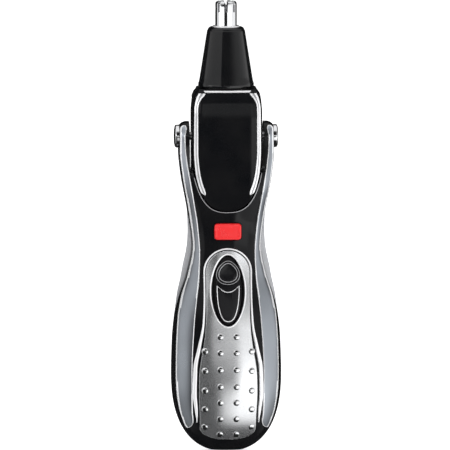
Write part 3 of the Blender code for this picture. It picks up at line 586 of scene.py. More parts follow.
def moulded(name, dark, light, rough, **more):
    """Moulded plastic: a little colour drift, a polish that varies and faint flow marks."""
    n = Nodes(name)
    polish = n.spread(n.noise(2.2, 5, 0.6), rough * 0.85, rough * 1.25)
    relief = n.relief(n.noise(0.9, 3), 0.0035, 0.12)
    return n.finish(n.tint(n.noise(14, 3), dark, light), polish, Normal=relief, **more)


def scuffed_gloss(name, index):
    """Piano black: nearly a mirror, with hairline wiping marks that only dull it a little."""
    n = Nodes(name)
    hair = n.noise(0.12, 4, 0.7, n.stretched(1.0, 1.0, 0.12))
    tint = n.tint(n.noise(9, 3), (0.0035, 0.0038, 0.0045), (0.006, 0.006, 0.0065))
    relief = n.relief(n.noise(5, 2), 0.006, 0.16)
    return n.finish(tint, n.spread(hair, 0.045, 0.085, 0.45, 0.75), Normal=relief, IOR=index)


def metallised(name, dark, light, rough, grain, grain_depth, edge=0.1, metallic=1.0):
    """Metal-coated plastic with a fine grain in its coat."""
    n = Nodes(name)
    speckle = n.noise(grain, 4, 0.7)
    polish = n.spread(n.noise(7, 3), rough * 0.9, rough * 1.15)
    relief = n.relief(speckle, grain_depth, edge)
    return n.finish(n.tint(speckle, dark, light, 0.35, 0.65), polish, Metallic=metallic, Normal=relief)


def chrome(name, rough):
    n = Nodes(name)
    tint = n.tint(n.noise(3, 4), (0.86, 0.87, 0.89), (0.93, 0.93, 0.94))
    polish = n.spread(n.noise(0.5, 4), rough * 0.8, rough * 1.6)
    return n.finish(tint, polish, Metallic=1.0, Normal=n.relief(n.noise(1.6, 2), 0.0015, 0.06))


def brushed(name, dark, light, rough):
    """Turned or drawn metal, with fine lines round its axis."""
    n = Nodes(name)
    lines = n.noise(0.09, 3, 0.7, n.stretched(0.15, 0.15, 1.0))
    polish = n.spread(n.noise(2, 3), rough * 0.85, rough * 1.2)
    return n.finish(n.tint(lines, dark, light), polish, Metallic=1.0, Normal=n.relief(lines, 0.002, 0.05))


def jacket():
    """The cell's plain sleeve: dark, with a copper-coloured band at its upper end."""
    n = Nodes("cell_sleeve")
    height = n.add("ShaderNodeSeparateXYZ", Vector=n.place).outputs["Z"]
    band_edge = (CELL_HIGH.z - 13) * MM
    band = n.spread(height, 0, 1, band_edge, band_edge + 0.0002)
    sleeve = n.tint(n.noise(6, 3), (0.012, 0.014, 0.02), (0.02, 0.022, 0.03))
    copper = n.tint(n.noise(0.4, 4), (0.45, 0.2, 0.07), (0.6, 0.3, 0.12))
    polish = n.spread(n.noise(1.2, 4), 0.22, 0.36)
    return n.finish(n.mix(band, sleeve, copper), polish, Metallic=0.5, Normal=n.relief(n.noise(3, 3), 0.01))


CELL_LOW, CELL_HIGH = box("battery")
GLOSS_BLACK = scuffed_gloss("gloss_black_lacquer", 1.26)
CONE_BLACK = scuffed_gloss("gloss_black_cone", 1.5)
REAR_TINTS = ((0.56, 0.57, 0.6), (0.68, 0.69, 0.71))
REAR_SILVER = metallised("rear_silver_paint", *REAR_TINTS, 0.34, 0.12, 0.002, 0.14, 0.45)
PLATE_SILVER = metallised("plate_silver", (0.77, 0.78, 0.8), (0.84, 0.85, 0.86), 0.22, 0.5, 0.001, 0.1, 0.93)
RAIL_SILVER = metallised("rail_satin", (0.37, 0.4, 0.44), (0.45, 0.48, 0.52), 0.3, 0.14, 0.002)
# The band along each rail's edges: near-white and partly diffuse, a painted highlight.
RAIL_EDGE_HIGHLIGHT = metallised("rail_edge", (0.86, 0.87, 0.89), (0.95, 0.95, 0.96), 0.2, 0.14, 0.001, 0.1, 0.4)
DOT_SILVER = metallised("dot_polished", (0.82, 0.83, 0.84), (0.94, 0.94, 0.95), 0.14, 0.2, 0.001, 0.05)
# Partly diffuse near-white for the chrome lines, trims and collar: painted reflection that keeps them white
# whatever they face.
BRIGHT_WITH_PAINTED_SHEEN = metallised("bright_line_painted_sheen", (0.88, 0.88, 0.9), (0.96, 0.96, 0.97), 0.12, 0.2, 0.0005, 0.06, 0.45)
CAP_CHROME = chrome("cap_chrome", 0.09)
# Grey on the cradle lip and the dish lines is painted highlight; in the trims' grooves it is painted shade.
GREY_HIGHLIGHT_AND_SHADE = metallised("grey_painted_highlight_and_shade", (0.3, 0.3, 0.31), (0.38, 0.38, 0.39), 0.16, 0.2, 0.0005, 0.03, 0.4)
CUTTER_CHROME = chrome("cutter_polished", 0.07)
SWITCH_BLACK = moulded("switch_black", (0.004, 0.004, 0.005), (0.009, 0.009, 0.01), 0.2, IOR=1.3)
DARK_PLASTIC = moulded("inner_dark_plastic", (0.014, 0.014, 0.016), (0.024, 0.024, 0.026), 0.42)
SOFT = {"Subsurface_Weight": 0.12, "Subsurface_Scale": 0.001}
RED = moulded("button_red", (0.56, 0.014, 0.016), (0.64, 0.02, 0.022), 0.24, **SOFT)
STEEL = brushed("plain_steel", (0.4, 0.4, 0.42), (0.58, 0.58, 0.6), 0.26)
BRASS = brushed("plain_brass", (0.55, 0.36, 0.12), (0.74, 0.52, 0.2), 0.24)
MOTOR_CASE = brushed("motor_plated", (0.45, 0.45, 0.46), (0.6, 0.6, 0.6), 0.32)
CELL = jacket()


def piece(obj, body, material, slot, *nodes):
    """Dresses a piece, hangs it on its body and says which CAD nodes it stands for."""
    obj.data.materials.clear()
    obj.data.materials.append(material)
    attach(obj, body)
    if nodes:
        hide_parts(*nodes)
    return obj


# ---- handle shells
CAP_LOW, CAP_HIGH = box("pivot_cap_right")
CAP_RADIUS = (CAP_HIGH.z - CAP_LOW.z) / 2
CAP_SEAT = CAP_LOW.x
HOUSING_SCREWS = ("housing_screw_1", "housing_screw_2", "housing_screw_3")
HEAD_SCREWS = ("head_screw_left", "head_screw_right", "head_screw_lower")
SIDES = (("left", -1), ("right", 1))
SCREW_SEAT = 8.3
HEAD_SCREW_DROP = 1.4  # from a head screw's top to its seat
FLANGE_POCKET = ((-5.95, -8.8, 73.3), (5.95, -6.1, 81.0))  # room for the flange behind the button
CATCH_WINDOW = ((-2.6, -3.6, 79), (2.6, 0, 85.3))  # in the head, for the latch's catch


def screw_places(nodes):
    """The top of each screw, as (x, y, z)."""
    corners = [box(node) for node in nodes]
    return [((low.x + high.x) / 2, high.y, (low.z + high.z) / 2) for low, high in corners]


def handle_heights():
    bottom = [BELLY_Z * (step / 22) ** 1.7 for step in range(22)]
    above = PIVOT_Z + ARM_END_RADIUS * 0.985 - ARM_CROWN_Z
    top = [ARM_CROWN_Z + above * sin(angle) for angle in evenly(0, pi / 2, 12)[1:]]
    return bottom + evenly(BELLY_Z, ARM_CROWN_Z, 88) + top


def handle_hollow():
    rings = []
    for z in [2.2, 3.5, 5, 7.5, 10, 13, 17, 21] + evenly(BELLY_Z, 79.4, 18):
        ring = []
        for angle in full_turn(40):
            depth = handle_depth(z, sin(angle)) - WALL
            ring.append((*oval_point(handle_half_width(z) - WALL, depth, squareness(z), angle), z))
        rings.append(ring)
    return loft(rings)


def cradle(behind_wall):
    """The space that the head's lower end turns in. With behind_wall it stops at the wall behind the head."""
    half_width = POD_HALF_WIDTH + CRADLE_GAP
    rings = []
    for turn in evenly(-asin(0.985), asin(0.985), 41):
        x = half_width * sin(turn)
        limit = radius = oval_depth(x, half_width, POD_END_RADIUS + CRADLE_GAP, POD_END_ROUNDNESS)
        if behind_wall:
            limit = oval_depth(x, half_width, POD_DEPTH + CRADLE_GAP, POD_SQUARENESS)
        circle = arc((PIVOT_Z, 0), (radius, radius), full_turn(96))
        rings.append([(x, min(y, limit), z) for z, y in circle])
    return loft(rings)


def arm_cutters(behind_wall):
    """What both shells lose to the head between the arms, and to the pivots."""
    slot = block((-ARM_INNER, -30, CRADLE_WALL_TOP), (ARM_INNER, 30, 130))
    pin = rod(PIN_RADIUS + 0.2, (-17, 0, PIVOT_Z), (17, 0, PIVOT_Z))
    ends = [((side * (CAP_SEAT - 0.1), 0, PIVOT_Z), (side * 22, 0, PIVOT_Z)) for side in (-1, 1)]
    return slot, cradle(behind_wall), pin, joined([rod(CAP_RADIUS + 0.12, *end, 96) for end in ends])


def make_handle_shells():
    places = screw_places(HOUSING_SCREWS)
    front = link("handle_front", FRONT.solid(handle_heights()))
    cut(front, handle_hollow())
    bosses = [rod(2.2, (x, -8.0 if z > 20 else -9.2, z), (x, -0.15, z), 32) for x, _, z in places]
    carve(front, "UNION", joined(bosses))
    cut(front, *arm_cutters(False))
    cut(front, well_block(0.3), placed(stacked(button_outline, BUTTON_HOLE), BUTTON_FRAME))
    cut(front, block(*FLANGE_POCKET))
    cut(front, pocket(FRONT, plate_heights(FIT), plate_edges(FIT), 21))
    cut(front, along_path(bezel_path(), bezel_recess))
    for side in (-1, 1):
        cut(front, pocket(FRONT, rail_heights(FIT), rail_edges(side, FIT), 9))
    smooth(front)
    true_normals(front, FRONT.form)
    piece(front, "handle", GLOSS_BLACK, "gloss_black", "handle_front_shell")

    rear = link("handle_rear", REAR.solid(handle_heights()))
    cut(rear, handle_hollow())
    carve(rear, "UNION", rods(2.6, places, 0.15, 9.8))
    cut(rear, rods(1.3, places, -1, 9), rods(2.2, places, SCREW_SEAT, 20, 48))
    cut(rear, *arm_cutters(True))
    cut(rear, pocket(REAR, door_heights(DOOR_GAP), door_edges(DOOR_GAP), 17, floor=-4, flare=0))
    smooth(rear)
    true_normals(rear, REAR.form)
    piece(rear, "handle", REAR_SILVER, "grey_shell", "handle_rear_shell")


# ---- front inlays
PLATE_LOW, PLATE_HIGH = box("grip_plate")
PLATE_BOTTOM = PLATE_LOW.z
ARCH_RADIUS = 7.5
ARCH_Z = PLATE_HIGH.z - ARCH_RADIUS
PLATE_BOTTOM_ARC = 4.5
DOT_RADIUS = 1.15
DOT_HEIGHT = 0.42
DOT_COLUMNS = ((2.8, (40.7, 35.1, 29.2, 23.3, 17.7, 11.9, 6.4)), (8.1, (35.6, 28.8, 21.9, 15.3, 9.0)))
RAIL_LOW, RAIL_HIGH = box("side_rail_right")
BEZEL_BOTTOM = 10.5
ARCH_LINE_RADIUS = 8.1

plate_side = curve(
    (10.6, 9.7), (20.6, 10.1), (26.9, 10.0), (31.6, 9.5), (36.9, 8.6), (42.6, 7.9), (50.6, ARCH_RADIUS)
)
rail_inner = curve(
    (RAIL_LOW.z, 13.2), (9.0, 12.5), (10.8, 11.9), (14.0, 12.2), (29.0, 12.4), (45.0, 11.6), (53.8, 10.7),
    (60.5, 9.9), (69.4, 9.55), (78.4, 10.2), (87.3, 11.6), (94.4, 12.8), (100.4, 13.8), (106.5, 14.4),
    (110.0, 14.45), (RAIL_HIGH.z, 13.7),
)
rail_margin = curve((RAIL_LOW.z, 1.5), (40.0, 1.3), (60.0, 0.6), (113.0, 0.5))
bezel_line = curve(
    (BEZEL_BOTTOM, 10.7), (14.6, 11.0), (20.6, 11.6), (29.6, 11.4), (36.6, 10.1), (45.6, 8.5),
    (55.6, ARCH_LINE_RADIUS),
)
bezel_half_width = curve(
    (BEZEL_BOTTOM, 0.12), (14.6, 0.5), (20.6, 0.65), (29.6, 0.65), (45.6, 0.35), (60.6, 0.28)
)


def plate_edges(grow=0.0):
    """The plate is straight-sided with a waist, ends in a half circle at the top and in a flat arc below."""

    def edges(z):
        half_width = plate_side(z) + grow
        if z > ARCH_Z:
            half_width = sqrt(max(0.01, (ARCH_RADIUS + grow) ** 2 - (z - ARCH_Z) ** 2))
        half_width *= max(0.03, end_share(z - PLATE_BOTTOM + grow, PLATE_BOTTOM_ARC + grow, 2.6))
        return -half_width, half_width

    return edges


def plate_heights(grow=0.0):
    bottom = [PLATE_BOTTOM - grow + 0.004 + 5.8 * (step / 14) ** 2 for step in range(14)]
    arch = [ARCH_Z + (ARCH_RADIUS + grow) * sin(angle) for angle in evenly(0, radians(89), 26)]
    return bottom + evenly(10, 61.5, 56) + arch


def rail_edges(side, grow=0.0):
    """A side rail's inner and outer edge: it tapers at the bottom and is rounded at the top of the arm."""

    def edges(z):
        inner = rail_inner(z) - grow
        outer = handle_half_width(z) - rail_margin(z) + grow / 2
        centre, half = (inner + outer) / 2, (outer - inner) / 2
        from_top = RAIL_HIGH.z + grow - z
        if from_top < half:
            half = sqrt(max(0.0016, half**2 - (half - from_top) ** 2))
        half *= max(0.1, end_share(z - RAIL_LOW.z + grow, 0.5))
        return side * centre - half, side * centre + half

    return edges


def rail_heights(grow=0.0):
    return finer_at_ends(RAIL_LOW.z - grow, RAIL_HIGH.z + grow, 1.2, 8, 110)


def bezel_path():
    left = [(-bezel_line(z), z) for z in evenly(BEZEL_BOTTOM, ARCH_Z, 48)]
    arch = arc((0, ARCH_Z), (ARCH_LINE_RADIUS, ARCH_LINE_RADIUS), evenly(pi, 0, 49))
    return left + arch[1:-1] + [(-x, z) for x, z in reversed(left)]


def along_path(path, section):
    """A bar on the front surface along an (x, z) path. section(z) gives its (across, out) pairs."""
    rings = []
    for i, (x, z) in enumerate(path):
        before, after = path[max(i - 1, 0)], path[min(i + 1, len(path) - 1)]
        across = Vector((before[1] - after[1], after[0] - before[0])).normalized()
        rings.append([FRONT.at(x + across.x * side, z + across.y * side, out) for side, out in section(z)])
    return loft(rings)


def bezel_section(z):
    return half_round(bezel_half_width(z), 0.4, -0.5)


def bezel_recess(z):
    half = bezel_half_width(z) + FIT
    return [(half + 0.05, OPEN_OUT), (-half - 0.05, OPEN_OUT), (-half, -0.6), (half, -0.6)]


def dots():
    meshes = []
    dome = arc((0, 0), (DOT_RADIUS, DOT_HEIGHT), evenly(0, pi / 2, 8))[:-1]
    for column, heights in DOT_COLUMNS:
        for x, z in [(side * column, z) for z in heights for side in (-1, 1)]:
            base = FRONT.at(x, z, PLATE_OUT)
            outward = FRONT.at(x, z, PLATE_OUT + 1) - base
            bm = turned([(0, -0.3), (DOT_RADIUS, -0.3)] + dome + [(0, DOT_HEIGHT)], 32)
            meshes.append(placed(bm, Matrix.Translation(base) @ facing(outward)))
    return joined(meshes)


LIP_ENDS = (-11.6, 11.9)
LIP_DROP = 0.16  # from the cradle's edge to the middle of its lip


def cradle_lip():
    """The fine edge along the front shell's cradle, just clear of the turning head: a thin grey bar, a painted
    highlight on that edge.
    """
    path = []
    for x in evenly(*LIP_ENDS, 61):
        reach = oval_depth(x, POD_HALF_WIDTH + CRADLE_GAP, POD_END_RADIUS + CRADLE_GAP, POD_END_ROUNDNESS)
        low, high = 78.0, 104.0
        for _ in range(30):
            z = (low + high) / 2
            if sqrt(FRONT.surface(x, z).y ** 2 + (z - PIVOT_Z) ** 2) > reach:
                low = z
            else:
                high = z
        path.append((x, low - LIP_DROP))
    return along_path(path, lambda z: half_round(0.13, 0.12, -0.2, 7))


def make_front_inlays():
    plate = link("front_plate", inlay(FRONT, plate_heights(), plate_edges(), PLATE_OUT, INLAY_IN, 0.22, 41))
    cut(plate, well_block(0.25))
    smooth(plate, 30)
    piece(plate, "handle", PLATE_SILVER, "satin_silver", "grip_plate")
    piece(link("plate_dots", dots()), "handle", DOT_SILVER, "satin_silver")
    line = link("plate_line", along_path(bezel_path(), bezel_section))
    piece(line, "handle", BRIGHT_WITH_PAINTED_SHEEN, "bright_chrome", "plate_bezel")
    # Painted highlight: the grey line along the cradle's edge.
    piece(link("cradle_edge_highlight", cradle_lip()), "handle", GREY_HIGHLIGHT_AND_SHADE, "gloss_black")
    for name, side in SIDES:
        rail = inlay(FRONT, rail_heights(), rail_edges(side), PLATE_OUT, INLAY_IN, 0.3, 21)
        rail = piece(link(f"rail_{name}", rail), "handle", RAIL_SILVER, "satin_silver", f"side_rail_{name}")
        # The rail's edge band is the painted highlight.
        paint_light_on_faces(rail, rail_edges(side), RAIL_EDGE_HIGHLIGHT, near_border)


# ---- controls
# The switch and the button have frames of their own: x, depth behind the front surface, and height along it.
SWITCH_Z = 56.1
WELL_HALF_WIDTH = box("switch_frame")[1].x
WELL_HALF_HEIGHT = 12.6
WELL_SAG = 0.55 / WELL_HALF_WIDTH**2  # its rim falls back to the sides, as the plate does
SWITCH_SLOPE = atan2(handle_depth(SWITCH_Z - 12, -1) - handle_depth(SWITCH_Z + 12, -1), 24)
SWITCH_PLACE = Matrix.Translation((0, -handle_depth(SWITCH_Z, -1), SWITCH_Z))
SWITCH_FRAME = SWITCH_PLACE @ Matrix.Rotation(-SWITCH_SLOPE, 4, "X")
WELL_FRAME = SWITCH_FRAME @ Matrix.Translation((0, 0, 0.45))
REST_SHIFT = -0.5  # the thumb piece rests low in its well
DISH_Z = 7.25 + REST_SHIFT
BUTTON_Z = 77.1
BUTTON_WIDTH = 9.3
BUTTON_HEIGHT = 5.6
BUTTON_FRAME = Matrix.Translation((0, -handle_depth(BUTTON_Z, -1), BUTTON_Z))

# Levels of (half width, half height, depth).
WELL_MOUTH = ((5.75, 12.4, -3), (5.75, 12.4, -0.1), (5.35, 12.05, 0.5), (5.0, 11.85, 1.3))
THUMB_FLANGE = ((5.4, 10.9, 2.9), (5.4, 10.9, 2.2))
THUMB_BASE = THUMB_FLANGE + ((4.75, 10.7, 2.2), (4.7, 10.65, 0.5), (4.55, 10.5, 0.15), (4.2, 10.2, 0.0))
KNOB_RIM = ((3.75, 4.1, 0.1), (3.7, 4.05, -0.45), (3.5, 3.85, -0.75), (3.2, 3.55, -0.85), (2.95, 3.3, -0.75))
DISH_SHARES = (0.85, 0.65, 0.45, 0.25, 0.08)
KNOB = KNOB_RIM + tuple((2.95 * share, 3.3 * share, -0.1 - 0.5 * share**3) for share in DISH_SHARES)
# Levels of (growth, depth).
SHIELD = ((0.0, 0.4), (0.0, -0.4), (-0.12, -0.55), (-0.35, -0.62), (-1.2, -0.7), (-2.4, -0.74))
# Levels of (shrinkage, corner radius, depth).
BUTTON_HOLE = ((-0.5, 1.6, -5), (-0.5, 1.6, -0.05), (-0.2, 1.3, 0.25), (-0.2, 1.3, 5))
BUTTON_BODY = ((-0.9, 1.6, 3.1), (-0.9, 1.6, 2.3), (0, 1.1, 2.3), (0, 1.1, -0.35))
BUTTON_RIM = ((0.08, 1.05, -0.55), (0.25, 0.95, -0.68), (0.5, 0.8, -0.72), (0.75, 0.6, -0.66))
BUTTON_CROWN = ((1.0, 0.5, -0.64), (1.8, 0.3, -0.7), (2.5, 0.1, -0.72))


def egg(half_width, half_height):
    """The outline of the switch well: an oval that is slightly pointed at the top."""
    points = []
    for angle in full_turn(72):
        narrowing = 1 - 0.09 * max(0.0, sin(angle)) ** 2
        points.append((half_width * cos(angle) * narrowing, half_height * sin(angle)))
    return points


def thumb_egg(half_width, half_height):
    """The pointed egg round the thumb dish: narrow at the top, full at the bottom."""
    points = []
    for angle in full_turn(64):
        narrowing = 1 - 0.2 * sin(angle) - 0.1 * max(0.0, sin(angle)) ** 3
        points.append((half_width * cos(angle) * narrowing * 1.06, DISH_Z + half_height * sin(angle)))
    return points


def shield(grow):
    """The lower half of the thumb piece: hollow along its top edge, and coming to a round point below."""
    half_width = 4.0 + grow
    top, hollow, bottom = 2.9 + grow, 2.3, -9.9 - grow
    points = [(half_width * share, top - hollow * (1 - share**2)) for share in evenly(-1, 1, 21)]
    for angle in evenly(0, -pi, 41)[1:-1]:
        across = signed_power(cos(angle), 0.82)
        points.append((half_width * across, top + (bottom - top) * abs(sin(angle)) ** 0.9))
    return [(x, REST_SHIFT + z) for x, z in points]


def well_block(grow):
    sizes = (WELL_HALF_WIDTH + grow, WELL_HALF_HEIGHT + grow)
    return placed(stacked(egg, ((*sizes, -5), (*sizes, 6))), WELL_FRAME)


def button_outline(shrink, radius):
    reach_x, reach_z = BUTTON_WIDTH / 2 - shrink - radius, BUTTON_HEIGHT / 2 - shrink - radius
    outline = []
    for corner, (side_x, side_z) in enumerate(((1, 1), (-1, 1), (-1, -1), (1, -1))):
        angles = evenly(corner * pi / 2, (corner + 1) * pi / 2, 9)
        outline += arc((side_x * reach_x, side_z * reach_z), (radius, radius), angles)
    return outline


def ring_bar(outline, section, sag=0.0):
    """A bar along a closed (x, z) outline in the switch's own frame. section holds (across, out) pairs."""
    rings = []
    for i, (x, z) in enumerate(outline):
        before, after = outline[i - 1], outline[(i + 1) % len(outline)]
        across = Vector((after[1] - before[1], before[0] - after[0])).normalized()
        rings.append([(x + across.x * side, sag * x * x - out, z + across.y * side) for side, out in section])
    return loft(rings, closed=True)


def switch_part(name, bm, body, material, slot, *nodes, crease=35):
    part = link(name, placed(bm, SWITCH_FRAME if body == "slide_switch" else WELL_FRAME))
    smooth(part, crease)
    return piece(part, body, material, slot, *nodes)


def make_switch():
    """The well, its bright rim, and the thumb piece with its dish and its shield. The grey dish lines and the
    bright shield line are painted highlights.
    """
    outline = egg(WELL_HALF_WIDTH + 0.15, WELL_HALF_HEIGHT + 0.15)
    wall = loft([[(x, depth + WELL_SAG * x * x, z) for x, z in outline] for depth in (-0.15, 1.9)])
    well = switch_part("switch_well", wall, "handle", SWITCH_BLACK, "dark_plastic", "switch_frame")
    cut(well, placed(stacked(egg, WELL_MOUTH), WELL_FRAME))
    smooth(well)
    rim_line = egg(WELL_HALF_WIDTH + 0.1, WELL_HALF_HEIGHT + 0.1)
    rim = ring_bar(rim_line, half_round(0.27, 0.33, -0.3, lift=0.3), WELL_SAG)
    switch_part("switch_rim", rim, "handle", BRIGHT_WITH_PAINTED_SHEEN, "bright_chrome")

    slider = "slide_switch"
    base = placed(stacked(egg, THUMB_BASE), Matrix.Translation((0, 0, REST_SHIFT)))
    switch_part("thumb_base", base, slider, SWITCH_BLACK, "dark_plastic", "switch_slider")
    switch_part("thumb_dish", stacked(thumb_egg, KNOB), slider, SWITCH_BLACK, "dark_plastic", crease=50)
    # Grey ridges round the dish: painted highlights along them.
    for line, share, lift in (("outer", 1.0, 0.47), ("inner", 0.8, 0.83)):
        bar = ring_bar(thumb_egg(3.72 * share, 4.07 * share), half_round(0.13, 0.14, -0.2, 7, lift))
        switch_part(f"dish_highlight_line_{line}", bar, slider, GREY_HIGHLIGHT_AND_SHADE, "dark_plastic")
    switch_part("thumb_shield", stacked(shield, SHIELD), slider, SWITCH_BLACK, "dark_plastic", crease=50)
    # A bright bead along the shield's edge: painted highlight.
    edge = ring_bar(shield(-0.18), half_round(0.16, 0.22, -0.2, 7, 0.45))
    switch_part("thumb_shield_highlight_line", edge, slider, BRIGHT_WITH_PAINTED_SHEEN, "bright_chrome")


def make_button():
    """The red button, with a crowned face and a soft rim, and the tongue behind it."""
    body = stacked(button_outline, BUTTON_BODY + BUTTON_RIM + BUTTON_CROWN)
    button = link("button_cap", placed(body, BUTTON_FRAME))
    carve(button, "UNION", placed(block((-1.5, 2.8, -3.0), (1.5, 7.2, -1.2)), BUTTON_FRAME))
    smooth(button, 40)
    piece(button, "button", RED, "red_plastic", "release_button")


# ---- battery side
DOOR_GAP = 0.2
DOOR_CORNER = 4.0


def door_edges(grow=0.0):
    def edges(z):
        near_end = min(z - DOOR_LOW.z, DOOR_HIGH.z - z) + grow
        half_width = DOOR_HIGH.x + grow - rounding(near_end, DOOR_CORNER)
        return -half_width, half_width

    return edges


def door_heights(grow=0.0):
    return finer_at_ends(DOOR_LOW.z - grow, DOOR_HIGH.z + grow, DOOR_CORNER, 12, 40)


def make_door():
    """The battery door, with grip ribs near its upper end."""
    door = link("door_panel", inlay(REAR, door_heights(), door_edges(), 0.0, -1.6, 0.25, 33))
    ribs = []
    for number in range(6):
        z = DOOR_HIGH.z - 5.5 - 1.7 * number
        half = 5.6 - 0.25 * abs(number - 2.5)
        rings = []
        for x in evenly(-half, half, 25):
            narrow = sqrt(max(0.02, 1 - (x / half) ** 6))
            section = half_round(0.42 * narrow, 0.34 * narrow, -0.4)
            rings.append([REAR.at(x, z + side, out) for side, out in section])
        ribs.append(loft(rings))
    carve(door, "UNION", joined(ribs))
    smooth(door)
    true_normals(door, REAR.form)
    piece(door, "door", REAR_SILVER, "grey_shell", "battery_door")


def cone_spring(base, base_radius, top_radius, length, turns, wire):
    """A spring that narrows upwards, as one closed wire."""
    rings = []
    for share in evenly(0, 1, 32 * turns + 1):
        angle = pi + tau * turns * share
        outward = Vector((cos(angle), sin(angle), 0))
        radius = base_radius + (top_radius - base_radius) * share
        centre = base + outward * radius + Vector((0, 0, length * share))
        rings.append([centre + wire * (cos(a) * outward + Vector((0, 0, sin(a)))) for a in full_turn(8)])
    return loft(rings)


def make_cell():
    axis = Vector((0, (CELL_LOW.y + CELL_HIGH.y) / 2, 0))
    radius = CELL_HIGH.x
    low, top = CELL_LOW.z, CELL_HIGH.z
    sleeve = [(0, low + 0.5), (5.4, low + 0.5), (5.8, low + 0.1), (6.4, low), (radius - 0.25, low + 0.1)]
    sleeve += [(radius, low + 0.5), (radius, top - 2.0), (radius - 0.3, top - 1.35), (6.3, top - 1.15)]
    sleeve += [(5.9, top - 1.3), (0, top - 1.3)]
    sleeve = link("cell_sleeve_body", placed(turned(sleeve), Matrix.Translation(axis)))
    piece(sleeve, "handle", CELL, "cell_jacket", "battery")
    button = [(0, top - 1.35), (4.6, top - 1.35), (4.6, top - 1.2), (2.9, top - 1.1), (2.7, top - 0.9)]
    button += [(2.7, top - 0.2), (2.5, top), (0, top)]
    button = link("cell_button", placed(turned(button, 64), Matrix.Translation(axis)))
    piece(button, "handle", STEEL, "steel")
    spring = cone_spring(axis + Vector((0, 0, 10.0)), 4.6, 2.6, 2.9, 3, 0.27)
    piece(link("cell_spring", spring), "handle", STEEL, "steel", "battery_spring")


def screw(node, body, head_radius, head_height):
    """A pan head screw with a cross recess, in the place of its CAD node."""
    low, high = box(node)
    x, z = (low.x + high.x) / 2, (low.z + high.z) / 2
    shank = head_radius / 2
    under = high.y - head_height
    brim = under + 0.6 * head_height
    profile = [(0, low.y), (shank, low.y), (shank, under), (head_radius, under), (head_radius, brim)]
    dome = arc((0, brim), (head_radius, 0.4 * head_height), evenly(0.2, pi / 2, 7))
    turn = Matrix.Translation((x, 0, z)) @ Matrix.Rotation(-pi / 2, 4, "X")
    obj = link(f"{node}_body", placed(turned(profile + dome[:-1] + [(0, high.y)], 48), turn))
    width, reach, recess = head_radius * 0.13, head_radius * 0.62, high.y - head_height * 0.55
    for half_x, half_z in ((reach, width), (width, reach)):
        cut(obj, block((x - half_x, recess, z - half_z), (x + half_x, high.y + 1, z + half_z)))
    smooth(obj)
    piece(obj, body, STEEL, "steel", node)


# ---- head
TRIM_BOTTOM = 89.65
TRIM_TOP = 125.2
TRIM_OUT = 0.22
TRIM_IN = -0.45
TRIM_GAP = 0.14  # the dark line on each side of a trim, beside its fit
TOP_TRIM_LOW = 125.45
TOP_TRIM_HIGH = 126.1
TOP_TRIM_HALF_LENGTH = 8.3

trim_inner = curve(
    (TRIM_BOTTOM, 7.4), (90.7, 7.55), (93.9, 8.65), (98.0, 9.55), (105.0, 10.15), (119.6, 10.15),
    (121.9, 9.75), (123.3, 8.95), (TRIM_TOP, 7.6),
)
trim_outer = curve(
    (TRIM_BOTTOM, 8.4), (90.7, 9.35), (93.9, 10.45), (98.0, 11.25), (105.0, 11.7), (119.6, 11.6),
    (122.2, 11.25), (123.9, 10.8), (TRIM_TOP, 10.2),
)


def pod_envelope():
    rings = []
    limit = POD_HALF_WIDTH + 0.1
    for turn in evenly(-pi / 2, pi / 2, 61):
        x = (limit + 0.2) * sin(turn)
        radius = max(11.4, oval_depth(x, limit, POD_END_RADIUS, POD_END_ROUNDNESS))
        lower = arc((0, PIVOT_Z), (radius, -radius), evenly(0, pi, 97))
        rings.append([(x, y, z) for y, z in lower + [(-radius, 130), (radius, 130)]])
    return loft(rings)


def pod_hollow():
    rings = []
    for z, half_width, depth in ((88, 7.0, 7.5), (94, 9.4, 8.7), (100, 10.5, 8.7), (119.5, 10.5, 8.5)):
        rings.append([(*oval_point(half_width, depth, POD_SQUARENESS, angle), z) for angle in full_turn(32)])
    return loft(rings)


def trim_edges(side, grow=0.0):
    def edges(z):
        inner, outer = trim_inner(z) - grow, trim_outer(z) + grow
        centre, half = (inner + outer) / 2, (outer - inner) / 2
        half *= max(0.1, end_share(z - TRIM_BOTTOM + grow, 0.7))
        return side * centre - half, side * centre + half

    return edges


def trim_heights(grow=0.0):
    low, high = TRIM_BOTTOM - grow, TRIM_TOP + grow
    bottom = [low + 1.2 * (step / 8) ** 2 for step in range(8)]
    return bottom + evenly(low + 1.2, high - 0.7, 62) + [high - 0.35, high - 0.12, high]


def top_trim_heights(grow=0.0):
    return evenly(TOP_TRIM_LOW - grow, TOP_TRIM_HIGH + grow, 9)


def top_trim_edges(grow=0.0):
    def edges(z):
        half = TOP_TRIM_HALF_LENGTH + grow - 0.9 * (TOP_TRIM_HIGH - z)
        return -half, half

    return edges


